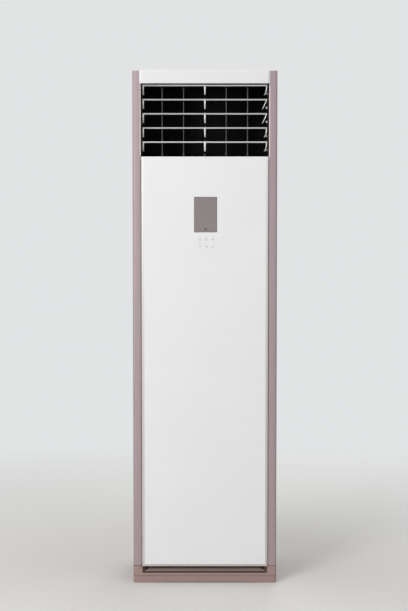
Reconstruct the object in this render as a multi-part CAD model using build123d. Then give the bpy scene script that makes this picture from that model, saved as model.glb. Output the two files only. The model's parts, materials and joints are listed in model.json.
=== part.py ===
from build123d import *
import math
import os

# Floor standing air conditioner, in millimetres.
# +Z is up, the front faces -Y, and the origin is the middle of the footprint on the floor.

# ---------------------------------------------------------------- driving dimensions
# Cabinet
WIDTH = 500.0
DEPTH = 315.0
HEIGHT = 1780.0
SHEET = 1.2                 # steel sheet of the sides and the back
FOLD = 20.0                 # width of the folds along the sheets' edges
BACK_SETBACK = 3.0          # the rear sheet lies this far inside the base and the top cover
SHEET_GAP = 0.3             # between the rear sheet and the side sheets

# Corner columns
COLUMN_WIDTH = 27.2
COLUMN_DEPTH = 60.0
COLUMN_WALL = 3.0
COLUMN_RETURN = 50.0        # depth of the inner wall that carries the front panel and outlet
CORNER_R = 8.0
TOP_EDGE_R = 4.0            # round of the cabinet's upper outer edges
COLUMN_EDGE = 1.5           # bevel of a column's inner front edge

# Base
PLINTH_HEIGHT = 61.0
PLINTH_WALL = 4.0
PLINTH_LINE_Z = 24.0        # fine groove across the skirt
PLINTH_LINE = 1.0
LAND_LENGTH = 90.0          # corner stretches that stand on the floor
LAND_LIFT = 2.4             # the skirt between them clears the floor by this
PAD_R = 14.0
PAD_HEIGHT = 6.0
PAD_PLAY = 0.3
CORNER_BLOCK = 44.0
LEDGE = 8.0
LEDGE_THICK = 4.0
PAN_THICK = 2.0
PAN_RIM = 2.0
PAN_PLAY = 0.5
RECESS_FLOOR_Z = 34.0       # finger recess under the front panel
RECESS_DEPTH = 27.0
RECESS_RISE = 12.0
RECESS_SLANT = 22.0
RECESS_TOP_ROOM = 2.0       # around the panel's lower edge

# Front panel
PANEL_PROUD = 7.5           # the panel and the top band stand proud of the columns
PANEL_GAP = 3.8             # to each column
OUTLET_HEIGHT = 250.0       # from the top cover's band down to the panel
PANEL_LOW_Z = 59.0
PANEL_THICK = 17.5
PANEL_WALL = 2.5
BEVEL_WIDE = 9.0
BEVEL_DEEP = 5.0
HINGE_DROP = 7.5            # pivot pins below the panel's top edge
HINGE_INSET = 13.5          # pivot pins behind the panel's face
HINGE_R = 3.0
HINGE_PLAY = 0.08
INSULATION_THICK = 12.0
INSULATION_MARGIN = 1.0

# Display and keys on the front panel
DISPLAY_X = 2.5
DISPLAY_DROP = 199.5        # display's middle below the panel's upper edge
DISPLAY_WIDTH = 79.5
DISPLAY_HEIGHT = 122.0
WINDOW_PLAY = 0.2
WINDOW_RECESS = 0.3
WINDOW_FLANGE = 2.0
WINDOW_FLANGE_THICK = 1.5
HOUSING_WALL = 2.0
HOUSING_MARGIN = 6.0
HOUSING_FOOT = 18.0         # housing below the lower keys
HOUSING_DEPTH = 13.0
BOARD_THICK = 1.6
BOARD_SETBACK = 7.0         # board face behind the inside of the panel
MODULE_GAP = 0.5            # between the window and the lit module behind it
MODULE_MARGIN = 6.0         # window around that module
POST_R = 3.0
KEY_X = 5.5
KEY_DROP = 24.0             # upper keys below the display
KEY_PITCH_X = 22.3
KEY_PITCH_Z = 25.0
KEY_WIDTH = 15.0
KEY_HEIGHT = 10.0
KEY_PLAY = 0.25
KEY_RECESS = 0.1
KEY_FLANGE = 1.5
KEY_STEM_R = 2.0
KEY_STEM_GAP = 1.2          # from a key's stem to the board, its travel and a little more
KEY_NAMES = ("power", "mode", "speed", "cooler", "warmer", "swing")

# Top cover
TOP_RIM = 20.0
TOP_WALL = 3.0
BAND_HEIGHT = 45.0
BAND_OVERLAP = 2.7          # the band laps over each column
BAND_BEVEL_WIDE = 8.0
BAND_BEVEL_DEEP = 5.0
BAND_EDGE_R = 1.5
COVER_PLAY = 0.3

# Air outlet
FRAME_WALL = 2.3
FRAME_BACK_Y = -16.0
FRAME_FLOOR_THICK = 3.0
FRAME_SILL_DROP = 0.5       # sill below the panel's top edge
FRAME_ROOM = 11.5           # room above the opening for the top louver's rear edge and crank
FRAME_TOP_THICK = 2.5
FRAME_SILL_SETBACK = 21.5   # sill behind the panel's face, clear of the panel's swing
FRAME_LIP = 2.5
APRON_DEPTH = 26.5
APRON_THICK = 2.5
STRIP_THICK = 4.5
STRIP_DEPTH = 24.0
STRIP_MARGIN = 4.0

# Louvers
LOUVER_COUNT = 5
LOUVER_PITCH = 48.5
LOUVER_DROP = 2.0           # top louver below the upper edge of the opening
LOUVER_GAP = 1.2            # between neighbouring louvers when they are shut
LOUVER_REACH = 22.0         # front edge ahead of the pivot
LOUVER_RISE = 28.5          # upper face above the pivot
LOUVER_SKIN = 2.5
LOUVER_LIP = 6.0
LOUVER_LIP_THICK = 3.0
LOUVER_PIVOT_SETBACK = 37.5 # pivots behind the panel's face
LOUVER_END_GAP = 1.5
CHEEK_THICK = 3.0
RIB_WIDTH = 7.0
RIB_TIP_WIDTH = 3.0
RIB_TAIL = 5.0
GUSSET_INSET = 2.0          # ribs and cheeks end this far before a louver's rear edge
BOSS_R = 5.5
BOSS_LENGTH = 10.0
STUB_R = 4.0
STUB_PLAY = 0.08
STUB_END_GAP = 0.3
CRANK_R = 36.0
CRANK_ANGLE = -10.0
CRANK_THICK = 3.0
CRANK_BOSS_R = 5.0
PIN_R = 2.2
PIN_PLAY = 0.08
LINK_WIDTH = 8.0
LINK_THICK = 3.0
LINK_GAP = 1.0
LEVER_LOUVERS = (2, 3)      # louvers with a slanted drive lever at the right end
LEVER_WIDTH = 6.0
LEVER_THICK = 3.0
LEVER_LEAN = 17.0

# Vanes
VANE_COUNT = 5
VANE_PITCH = 75.0
VANE_PIVOT_Y = -52.0
VANE_FRONT_REACH = 20.0
VANE_REAR_REACH = 40.0
VANE_THICK = 2.0
VANE_CORNER_R = 5.0
VANE_RAIL_DEPTH = 18.0
VANE_RAIL_THICK = 4.5
VANE_RAIL_GAP = 0.5
VANE_LIFT = 7.5             # lower edge above the rail, room for the link
VANE_BOSS_R = 5.0
VANE_BOSS_LENGTH = 16.0
VANE_CRANK = 25.0
VANE_PIN_BOSS_R = 4.0
VANE_LINK_GAP = 1.8         # link above the rail

# Stepper motors of the louvers and vanes
STEPPER_R = 14.0
STEPPER_LENGTH = 19.0
STEPPER_SHAFT_R = 2.4
STEPPER_SHAFT = 10.0
SHAFT_PLAY = 0.1
SHAFT_HOLE_R = 3.2

# Fan
FAN_Y = -2.0
FAN_Z = 330.0
WHEEL_R = 100.0
WHEEL_EYE_R = 84.0
BLADE_COUNT = 36
BLADE_THICK = 1.4
BLADE_LEAN = 28.0           # degrees forward of the radius
BLADE_HOLD = 2.0            # the end rings leave this much of a blade's root free
BLADE_INSET = 1.0           # blades end inside the rings' rim
WHEEL_RING = 3.0
WHEEL_DISC = 3.0
HUB_R = 18.0
HUB_LENGTH = 32.0
SHAFT_R = 8.0
SHAFT_TAIL = 6.0            # shaft past the motor's outer bearing
SHAFT_ROOM = 15.0           # from the shaft's end to the right filter
BEARING_PLAY = 0.08
MOTOR_R = 52.0
MOTOR_LENGTH = 70.0
MOTOR_GAP = 18.0            # motor outside the inlet ring
MOTOR_EDGE_R = 6.0
MOTOR_END_R = 22.0
MOTOR_END = 6.0
BAND_THICK = 3.0
BAND_LENGTH = 20.0
ARM_COUNT = 3
ARM_CIRCLE_R = 111.0
ARM_R = 4.0

# Fan housing
SCROLL_SHEET = 2.0
SCROLL_SIDE_GAP = 11.0      # wheel end to side plate
SCROLL_R = 124.0
SCROLL_Y = 6.0
SCROLL_Z = 326.0
CHUTE_FRONT_Y = 20.0
INLET_HOLE_R = 102.0
INLET_FLANGE_R = 106.0
INLET_R = 78.0
INLET_WALL = 2.0
INLET_FLANGE = 2.0
INLET_LIP = 9.0
INLET_MOUTH_R = 1.8

# Partition and air duct
DECK_Z = 596.0
DECK_THICK = 2.0
DECK_FRONT_Y = -118.0
DUCT_WALL = 16.0
DUCT_FRONT_Y = -80.0
DUCT_SIDE = 20.0
DUCT_BACK_GAP = 1.3
POCKET_WALL = 2.0           # foam left in front of the wall-fixing plate
POCKET_PLAY = 1.0
SCREW_POCKET_R = 3.8

# Evaporator
COIL_SIDE = 32.8            # fins' ends inside the duct's side walls
COIL_THICK = 44.0
COIL_LENGTH = 640.0
COIL_FOOT_Y = -34.0
COIL_FOOT_Z = 650.0
COIL_LEAN = 12.5            # degrees from the vertical
TUBE_R = 4.75
TUBE_PLAY = 0.05
TUBE_COLUMNS = 2
TUBE_ROWS = 16
TUBE_EDGE = 11.0            # tubes from the fins' front and rear
TUBE_FOOT = 22.0            # tubes from the fins' lower and upper ends
END_PLATE = 1.5
END_LEG = 30.0              # width of the end plates' legs in the tray
END_TAB = 44.0              # height of their tabs to the duct's rear wall
TUBE_STAND = 4.0            # straight tube outside the end plates

# Drip tray and drain
TRAY_DEPTH = 74.0
TRAY_HEIGHT = 40.0
TRAY_WALL = 2.0
TRAY_PLAY = 2.0
DRAIN_INSET = 45.0          # drain inside the connection window's outer edge
DRAIN_Z = 97.0
DRAIN_R = 7.0
DRAIN_WALL = 1.5
DRAIN_BEND_R = 24.0
SPIGOT_R = 8.0
SPIGOT_LENGTH = 25.0
PORT_SETBACK = 4.5          # open ends of pipes inside the rear sheet

# Refrigerant pipes
SUCTION_INSET = 22.0        # pipes inside the connection window's outer edge
SUCTION_R = 7.94
LIQUID_INSET = 67.0
LIQUID_R = 4.76
PIPE_WALL = 1.0
PIPE_Z = 135.0
PIPE_Y = 92.0
PIPE_BEND_R = 26.0
PIPE_TOP_Z = 700.0
SUCTION_UNION_R = 11.1
LIQUID_UNION_R = 7.94
UNION_LENGTH = 16.0
NUT_LENGTH = 10.0
NUT_MARGIN = 3.0
GROMMET_PLAY = 1.0

# Filters
FILTER_INSET = 11.8         # a filter's middle inside the side sheet
FILTER_THICK = 6.0
FILTER_LOW_Z = 119.0
FILTER_HIGH_Z = 571.0
FILTER_FRONT_Y = -76.0
FILTER_BORDER = 12.0
FILTER_MESH = 0.6
FILTER_BAR = 4.0
FILTER_BAR_COLUMNS = 2
FILTER_BAR_ROWS = 5
FILTER_PLAY = 0.5
FILTER_STRIP = 3.0          # outer strip that covers the slot
FILTER_STRIP_THICK = 2.2
RAIL_WIDTH = 12.0
RAIL_HEIGHT = 10.0
RAIL_GRIP = 5.0
SLOT_PLAY = 1.5

# Intake grilles in the side sheets
GRILLE_Y = 28.0
GRILLE_LOW_Z = 140.0
GRILLE_HIGH_Z = 555.0
GRILLE_COLUMNS = 3
GRILLE_SLOT = 54.0
GRILLE_SLOT_HEIGHT = 6.0
GRILLE_PITCH_Y = 62.0
GRILLE_ROWS = 28

# Electrics
BOX_X = -40.0
BOX_Z = 1030.0
BOX_WIDTH = 220.0
BOX_HEIGHT = 300.0
BOX_DEPTH = 48.0
BOX_SHEET = 1.5
CONTROL_MARGIN = 14.0
SINK_SIZE = 36.0
SINK_DEPTH = 20.0
CAPACITOR_R = 12.0
CAPACITOR_LENGTH = 24.0
RELAY_COUNT = 3
RELAY_SIZE = 28.0
RELAY_DEPTH = 10.0
RELAY_PITCH = 42.0
STANDOFF_R = 3.0
STANDOFF = 8.0
TERMINAL_WIDTH = 90.0
TERMINAL_HEIGHT = 24.0
TERMINAL_DEPTH = 20.0
TERMINAL_WAYS = 6
TERMINAL_SCREW_R = 3.0
GLAND_SIDE = 58.8           # from the side sheet
GLAND_Z = 100.0
GLAND_R = 9.0
GLAND_FLANGE_R = 12.5
GLAND_FLANGE = 2.0
GLAND_BARREL = 8.0
GLAND_BORE_R = 4.0

# Rear connection window, wall fixing and screws
WINDOW_SIDE = 23.8          # connection window from the side sheet
WINDOW_WIDTH = 95.0
WINDOW_LOW_Z = 74.0
WINDOW_HIGH_Z = 164.0
FIXING_DROP = 60.0          # wall-fixing holes below the top
FIXING_SPACING = 80.0
FIXING_R = 2.5
FIXING_THICK = 4.0
FIXING_MARGIN = 20.0
SCREW_HEAD_R = 3.8
SCREW_HEAD = 2.0
SCREW_R = 1.9
SCREW_LENGTH = 11.0
SCREW_PLAY = 0.05
SCREW_X_INSET = 10.0
SCREW_DROP = 31.0           # lowest screws below the filters
SCREW_RISE = 69.0           # next screws above the filters
SCREW_TOP_DROP = 80.0       # upper screws below the seam of the top cover
SCREW_ROWS = 5              # rows above the filters

# ---------------------------------------------------------------- places worked out from them
HALF_W = WIDTH / 2
FRONT_Y = -DEPTH / 2
BACK_Y = DEPTH / 2
BACK_SHEET_Y = BACK_Y - BACK_SETBACK
BACK_INSIDE_Y = BACK_SHEET_Y - SHEET
COLUMN_FRONT_Y = FRONT_Y + PANEL_PROUD
COLUMN_BACK_Y = COLUMN_FRONT_Y + COLUMN_DEPTH
COLUMN_INNER_X = HALF_W - COLUMN_WIDTH
SIDE_INSIDE_X = HALF_W - SHEET
TOP_SEAM_Z = HEIGHT - TOP_RIM
BAND_LOW_Z = HEIGHT - BAND_HEIGHT
PANEL_TOP_Z = BAND_LOW_Z - OUTLET_HEIGHT
DISPLAY_Z = PANEL_TOP_Z - DISPLAY_DROP
KEY_TOP_Z = DISPLAY_Z - DISPLAY_HEIGHT / 2 - KEY_DROP

PAN_Z = PLINTH_HEIGHT - PAN_THICK - PAN_RIM
RECESS_BACK_Y = COLUMN_FRONT_Y + RECESS_DEPTH
PANEL_HALF = COLUMN_INNER_X - PANEL_GAP
PANEL_BACK_Y = FRONT_Y + PANEL_THICK
PANEL_INSIDE_Y = FRONT_Y + PANEL_WALL
HINGE_Y = FRONT_Y + HINGE_INSET
HINGE_Z = PANEL_TOP_Z - HINGE_DROP
HOUSING_LOW_Z = KEY_TOP_Z - KEY_PITCH_Z - KEY_HEIGHT / 2 - HOUSING_FOOT
HOUSING_HIGH_Z = DISPLAY_Z + DISPLAY_HEIGHT / 2 + HOUSING_MARGIN
HOUSING_HALF = DISPLAY_WIDTH / 2 + HOUSING_MARGIN
BOARD_Y = PANEL_INSIDE_Y + BOARD_SETBACK

FRAME_HALF = COLUMN_INNER_X - FRAME_WALL
FRAME_TOP_Z = BAND_LOW_Z + FRAME_ROOM
FRAME_ROOF_Z = FRAME_TOP_Z + FRAME_TOP_THICK
FRAME_SILL_Z = PANEL_TOP_Z - FRAME_SILL_DROP
FRAME_FRONT_Y = COLUMN_FRONT_Y + TOP_WALL
APRON_LOW_Z = FRAME_SILL_Z - APRON_DEPTH
STRIP_X = FRAME_HALF - STRIP_THICK

LOUVER_HALF = STRIP_X - LOUVER_END_GAP
LOUVER_TAIL = LOUVER_PITCH - LOUVER_GAP - LOUVER_REACH
LOUVER_PIVOT_Y = FRONT_Y + LOUVER_PIVOT_SETBACK
LOUVER_Z = [BAND_LOW_Z - LOUVER_DROP - LOUVER_RISE - i * LOUVER_PITCH for i in range(LOUVER_COUNT)]
CRANK_Y = CRANK_R * math.cos(math.radians(CRANK_ANGLE))
CRANK_Z = CRANK_R * math.sin(math.radians(CRANK_ANGLE))
LOUVER_LINK_X = RIB_WIDTH / 2 + LINK_GAP

VANE_X = [(i - (VANE_COUNT - 1) / 2) * VANE_PITCH for i in range(VANE_COUNT)]
RAIL_LOW_TOP_Z = FRAME_SILL_Z + VANE_RAIL_THICK
RAIL_HIGH_LOW_Z = FRAME_TOP_Z - VANE_RAIL_THICK
VANE_LOW_Z = RAIL_LOW_TOP_Z + VANE_LIFT
VANE_HIGH_Z = RAIL_HIGH_LOW_Z - VANE_LIFT
VANE_LINK_Z = RAIL_LOW_TOP_Z + VANE_LINK_GAP

# The fan and its motor fill the room between the filters.
FILTER_X = SIDE_INSIDE_X - FILTER_INSET
SHAFT_END_X = FILTER_X - FILTER_THICK / 2 - SHAFT_ROOM
MOTOR_X = SHAFT_END_X - SHAFT_TAIL - MOTOR_END - MOTOR_LENGTH
SCROLL_HALF = MOTOR_X - MOTOR_GAP - INLET_FLANGE
WHEEL_HALF = SCROLL_HALF - SCROLL_SHEET - SCROLL_SIDE_GAP
CHUTE_BACK_Y = SCROLL_Y + SCROLL_R
DECK_TOP_Z = DECK_Z + DECK_THICK
DUCT_BACK_Y = BACK_INSIDE_Y - DUCT_BACK_GAP
DUCT_INNER_X = SIDE_INSIDE_X - DUCT_SIDE
COIL_HALF = DUCT_INNER_X - COIL_SIDE
DUCT_INNER_FRONT_Y = DUCT_FRONT_Y + DUCT_WALL
DUCT_INNER_BACK_Y = DUCT_BACK_Y - DUCT_WALL
TRAY_FRONT_Y = DUCT_INNER_FRONT_Y
TRAY_BACK_Y = TRAY_FRONT_Y + TRAY_DEPTH
TRAY_HALF = DUCT_INNER_X - TRAY_PLAY
DRAIN_Y = (TRAY_FRONT_Y + TRAY_BACK_Y) / 2
WINDOW_LEFT_X = WINDOW_SIDE - SIDE_INSIDE_X
WINDOW_RIGHT_X = WINDOW_LEFT_X + WINDOW_WIDTH
SUCTION_X = WINDOW_LEFT_X + SUCTION_INSET
LIQUID_X = WINDOW_LEFT_X + LIQUID_INSET
DRAIN_X = WINDOW_LEFT_X + DRAIN_INSET
GLAND_X = SIDE_INSIDE_X - GLAND_SIDE
FIXING_Z = HEIGHT - FIXING_DROP
PORT_Y = BACK_INSIDE_Y - PORT_SETBACK
BOX_BACK_Y = DUCT_FRONT_Y
BOX_FRONT_Y = BOX_BACK_Y - BOX_DEPTH
FILTER_BACK_Y = BACK_SHEET_Y + FILTER_PLAY
GRILLE_PITCH_Z = (GRILLE_HIGH_Z - GRILLE_LOW_Z) / (GRILLE_ROWS - 1)
GRILLE_Z = (GRILLE_HIGH_Z + GRILLE_LOW_Z) / 2


# ---------------------------------------------------------------- helpers
def block(x0, x1, y0, y1, z0, z1):
    """A box between two corners."""
    return Pos((x0 + x1) / 2, (y0 + y1) / 2, (z0 + z1) / 2) * Box(x1 - x0, y1 - y0, z1 - z0)


def rod_x(radius, x0, x1, y, z):
    """A round bar along X."""
    return Pos((x0 + x1) / 2, y, z) * Rot(0, 90, 0) * Cylinder(radius, x1 - x0)


def rod_y(radius, x, y0, y1, z):
    """A round bar along Y."""
    return Pos(x, (y0 + y1) / 2, z) * Rot(90, 0, 0) * Cylinder(radius, y1 - y0)


def rod_z(radius, x, y, z0, z1):
    """A round bar along Z."""
    return Pos(x, y, (z0 + z1) / 2) * Cylinder(radius, z1 - z0)


def prism_x(points, x0, x1):
    """A (y, z) outline drawn out along X."""
    return extrude(Plane.YZ.offset(x0) * Polygon(*points, align=None), x1 - x0, dir=(1, 0, 0))


def prism_y(points, y0, y1):
    """An (x, z) outline drawn out along Y."""
    return extrude(Plane.XZ.offset(-y0) * Polygon(*points, align=None), y1 - y0, dir=(0, 1, 0))


def prism_z(points, z0, z1):
    """An (x, y) outline drawn out along Z."""
    return extrude(Plane.XY.offset(z0) * Polygon(*points, align=None), z1 - z0, dir=(0, 0, 1))


def mirrored(shape):
    """The same shape on the other side of the cabinet."""
    return mirror(shape, about=Plane.YZ)


def pierced(plane, outline, holes, thickness):
    """A flat sheet with holes, from 2D shapes in the plane's own axes."""
    face = plane * Face(outline.wire(), [hole.wire() for hole in holes])
    return extrude(face, thickness, dir=plane.z_dir)


def beveled_slab(half, low_z, high_z, back_y, wide, deep):
    """A slab with its face at the front of the cabinet and its four face edges beveled."""
    plan = [(-half, back_y), (-half, FRONT_Y + deep), (-half + wide, FRONT_Y),
            (half - wide, FRONT_Y), (half, FRONT_Y + deep), (half, back_y)]
    side = [(back_y, low_z), (FRONT_Y + deep, low_z), (FRONT_Y, low_z + wide),
            (FRONT_Y, high_z - wide), (FRONT_Y + deep, high_z), (back_y, high_z)]
    return prism_z(plan, low_z, high_z) & prism_x(side, -half, half)


def save(name, shape):
    """Write one sub-part."""
    solids = shape.solids()
    export_step(solids[0] if len(solids) == 1 else Compound(solids), f"parts/{name}.step")


# ---------------------------------------------------------------- base
def corner_blocks():
    """Solid corners of the base that hold the rubber pads, each as (x, y) ranges."""
    inner_x = HALF_W - PLINTH_WALL
    blocks = []
    for front, back in ((COLUMN_FRONT_Y + PLINTH_WALL, COLUMN_FRONT_Y + PLINTH_WALL + CORNER_BLOCK),
                        (BACK_Y - PLINTH_WALL - CORNER_BLOCK, BACK_Y - PLINTH_WALL)):
        for low, high in ((-inner_x, -inner_x + CORNER_BLOCK), (inner_x - CORNER_BLOCK, inner_x)):
            blocks.append((low, high, front, back))
    return blocks


def finger_recess():
    """The space under the front panel's lower edge, with a sloped floor and slanted ends."""
    over = PLINTH_HEIGHT + 1
    side = [(COLUMN_FRONT_Y - 1, RECESS_FLOOR_Z), (RECESS_BACK_Y, RECESS_FLOOR_Z + RECESS_RISE),
            (RECESS_BACK_Y, over), (COLUMN_FRONT_Y - 1, over)]
    rear = PANEL_HALF - RECESS_SLANT
    plan = [(-PANEL_HALF, COLUMN_FRONT_Y - 1), (PANEL_HALF, COLUMN_FRONT_Y - 1),
            (rear, RECESS_BACK_Y), (-rear, RECESS_BACK_Y)]
    recess = prism_x(side, -PANEL_HALF, PANEL_HALF) & prism_z(plan, RECESS_FLOOR_Z, over)
    room = RECESS_TOP_ROOM
    return recess + block(-COLUMN_INNER_X, COLUMN_INNER_X, COLUMN_FRONT_Y - 1, PANEL_BACK_Y + room,
                          PANEL_LOW_Z - room, over)


def base_plinth():
    """Moulded plinth: skirt, finger recess, ledge for the pan, corner lands."""
    wall = PLINTH_WALL
    body = block(-HALF_W, HALF_W, COLUMN_FRONT_Y, BACK_Y, 0, PLINTH_HEIGHT)
    body = fillet(body.edges().filter_by(Axis.Z).group_by(Axis.Y)[0], CORNER_R)
    inner_x = HALF_W - wall
    inner_front = RECESS_BACK_Y + wall
    inner_back = BACK_Y - wall
    body -= block(-inner_x, inner_x, inner_front, inner_back, -1, PLINTH_HEIGHT + 1)
    body -= block(-inner_x, inner_x, COLUMN_FRONT_Y + wall, inner_front + 1, -1, RECESS_FLOOR_Z - wall)
    body -= finger_recess()
    ledge = block(-inner_x, inner_x, inner_front, inner_back, PAN_Z - LEDGE_THICK, PAN_Z)
    ledge -= block(-inner_x + LEDGE, inner_x - LEDGE, inner_front + LEDGE, inner_back - LEDGE, 0, PAN_Z)
    body += ledge
    for x0, x1, y0, y1 in corner_blocks():
        top = RECESS_FLOOR_Z - wall if y0 < 0 else PAN_Z
        body += block(x0, x1, y0, y1, 0, top)
        body -= rod_z(PAD_R + PAD_PLAY, (x0 + x1) / 2, (y0 + y1) / 2, 0, PAD_HEIGHT)
    middle_x = HALF_W - LAND_LENGTH
    body -= block(-middle_x, middle_x, COLUMN_FRONT_Y, BACK_Y, 0, LAND_LIFT)
    body -= block(-HALF_W, HALF_W, COLUMN_FRONT_Y + LAND_LENGTH, BACK_Y - LAND_LENGTH, 0, LAND_LIFT)
    line = block(-HALF_W + CORNER_R, HALF_W - CORNER_R, COLUMN_FRONT_Y, COLUMN_FRONT_Y + PLINTH_LINE,
                 PLINTH_LINE_Z, PLINTH_LINE_Z + PLINTH_LINE)
    return body - line


def foot_pads():
    """Four rubber pads in the corners of the plinth."""
    pads = [rod_z(PAD_R, (x0 + x1) / 2, (y0 + y1) / 2, 0, PAD_HEIGHT) for x0, x1, y0, y1 in corner_blocks()]
    return Compound(pads)


def base_pan():
    """Steel floor tray on the plinth's ledge."""
    half = HALF_W - PLINTH_WALL - PAN_PLAY
    front = RECESS_BACK_Y + PLINTH_WALL + PAN_PLAY
    back = BACK_Y - PLINTH_WALL - PAN_PLAY
    tray = block(-half, half, front, back, PAN_Z, PAN_Z + PAN_THICK + PAN_RIM)
    rim = PAN_THICK
    return tray - block(-half + rim, half - rim, front + rim, back - rim,
                        PAN_Z + PAN_THICK, PLINTH_HEIGHT + 1)


# ---------------------------------------------------------------- cabinet shell
def column():
    """Right corner column: hollow section, capped at the top."""
    outer = block(COLUMN_INNER_X, HALF_W, COLUMN_FRONT_Y, COLUMN_BACK_Y, PLINTH_HEIGHT, HEIGHT)
    edges = outer.edges().filter_by(Axis.Z).group_by(Axis.Y)[0].sort_by(Axis.X)
    outer = fillet(edges[-1], CORNER_R)
    # The upper edge is round along the front, the corner and the side.
    top_edges = outer.faces().sort_by(Axis.Z)[-1].edges().sort_by(Axis.X)[1:]
    outer = fillet([edge for edge in top_edges if edge.center().Y < COLUMN_BACK_Y - 1], TOP_EDGE_R)
    bevel = [(COLUMN_INNER_X, COLUMN_FRONT_Y), (COLUMN_INNER_X + COLUMN_EDGE, COLUMN_FRONT_Y),
             (COLUMN_INNER_X, COLUMN_FRONT_Y + COLUMN_EDGE)]
    outer -= prism_z(bevel, PLINTH_HEIGHT, HEIGHT)
    wall = COLUMN_WALL
    inner = block(COLUMN_INNER_X + wall, HALF_W - wall, COLUMN_FRONT_Y + wall, COLUMN_BACK_Y + 1,
                  PLINTH_HEIGHT - 1, HEIGHT - wall)
    edges = inner.edges().filter_by(Axis.Z).group_by(Axis.Y)[0].sort_by(Axis.X)
    inner = fillet(edges[-1], CORNER_R - wall)
    body = outer - inner
    body -= block(COLUMN_INNER_X - 1, COLUMN_INNER_X + wall + 1, COLUMN_FRONT_Y + COLUMN_RETURN,
                  COLUMN_BACK_Y + 1, PLINTH_HEIGHT - 1, HEIGHT - wall)
    hinge = rod_x(HINGE_R + HINGE_PLAY, COLUMN_INNER_X - 1, COLUMN_INNER_X + wall + 1, HINGE_Y, HINGE_Z)
    return body - hinge


def right_column():
    """The right column also lets the louver motor's shaft through."""
    hole = rod_x(SHAFT_HOLE_R, COLUMN_INNER_X - 1, COLUMN_INNER_X + COLUMN_WALL + 1,
                 LOUVER_PIVOT_Y, LOUVER_Z[0])
    return column() - hole


def screw_places():
    """(x, z) of the screws in the rear sheet: one row below the filters and the others above them."""
    x = HALF_W - SCREW_X_INSET
    first = FILTER_HIGH_Z + SCREW_RISE
    pitch = (TOP_SEAM_Z - SCREW_TOP_DROP - first) / (SCREW_ROWS - 1)
    heights = [FILTER_LOW_Z - SCREW_DROP] + [first + i * pitch for i in range(SCREW_ROWS)]
    return [(sx, z) for z in heights for sx in (-x, x)]


def filter_slot(side):
    """Slot in the rear sheet for a filter, in the sheet's own (x, z) axes."""
    height = FILTER_HIGH_Z - FILTER_LOW_Z + 2 * SLOT_PLAY
    middle = (FILTER_HIGH_Z + FILTER_LOW_Z) / 2
    return Pos(side * FILTER_X, middle) * Rectangle(FILTER_THICK + 2 * SLOT_PLAY, height)


def side_panel():
    """Right side sheet: folded edges, intake slots, notch for the filter."""
    depth = BACK_SHEET_Y - COLUMN_BACK_Y
    height = TOP_SEAM_Z - PLINTH_HEIGHT
    outline = Pos(COLUMN_BACK_Y + depth / 2, PLINTH_HEIGHT + height / 2) * Rectangle(depth, height)
    slots = [Pos(GRILLE_Y, GRILLE_Z) * place * SlotOverall(GRILLE_SLOT, GRILLE_SLOT_HEIGHT)
             for place in GridLocations(GRILLE_PITCH_Y, GRILLE_PITCH_Z, GRILLE_COLUMNS, GRILLE_ROWS)]
    skin = pierced(Plane.YZ.offset(SIDE_INSIDE_X), outline, slots, SHEET)
    fold_x = SIDE_INSIDE_X - FOLD
    front_fold = block(fold_x, SIDE_INSIDE_X, COLUMN_BACK_Y, COLUMN_BACK_Y + SHEET, PLINTH_HEIGHT, TOP_SEAM_Z)
    rear_fold = block(fold_x, SIDE_INSIDE_X, BACK_INSIDE_Y - SHEET, BACK_INSIDE_Y, PLINTH_HEIGHT, TOP_SEAM_Z)
    notch = FILTER_THICK / 2 + SLOT_PLAY
    rear_fold -= block(FILTER_X - notch, FILTER_X + notch, BACK_INSIDE_Y - 2 * SHEET, BACK_INSIDE_Y + 1,
                       FILTER_LOW_Z - SLOT_PLAY, FILTER_HIGH_Z + SLOT_PLAY)
    for x, z in screw_places():
        if x > 0:
            rear_fold -= rod_y(SCREW_R + SCREW_PLAY, x, BACK_INSIDE_Y - 2 * SHEET, BACK_INSIDE_Y + 1, z)
    return skin + front_fold + rear_fold


def back_panel():
    """Rear sheet with the connection window, filter slots, gland hole and screw holes."""
    half = SIDE_INSIDE_X - SHEET_GAP
    height = TOP_SEAM_Z - PLINTH_HEIGHT
    outline = Pos(0, PLINTH_HEIGHT + height / 2) * Rectangle(2 * half, height)
    window = Pos((WINDOW_LEFT_X + WINDOW_RIGHT_X) / 2, (WINDOW_LOW_Z + WINDOW_HIGH_Z) / 2) \
        * Rectangle(WINDOW_RIGHT_X - WINDOW_LEFT_X, WINDOW_HIGH_Z - WINDOW_LOW_Z)
    holes = [window, filter_slot(-1), filter_slot(1), Pos(GLAND_X, GLAND_Z) * Circle(GLAND_R)]
    holes += [Pos(x, z) * Circle(SCREW_R + SCREW_PLAY) for x, z in screw_places()]
    holes += [Pos(x, FIXING_Z) * Circle(FIXING_R) for x in (-FIXING_SPACING / 2, FIXING_SPACING / 2)]
    return pierced(Plane.XZ.offset(-BACK_SHEET_Y), outline, holes, SHEET)


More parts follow.
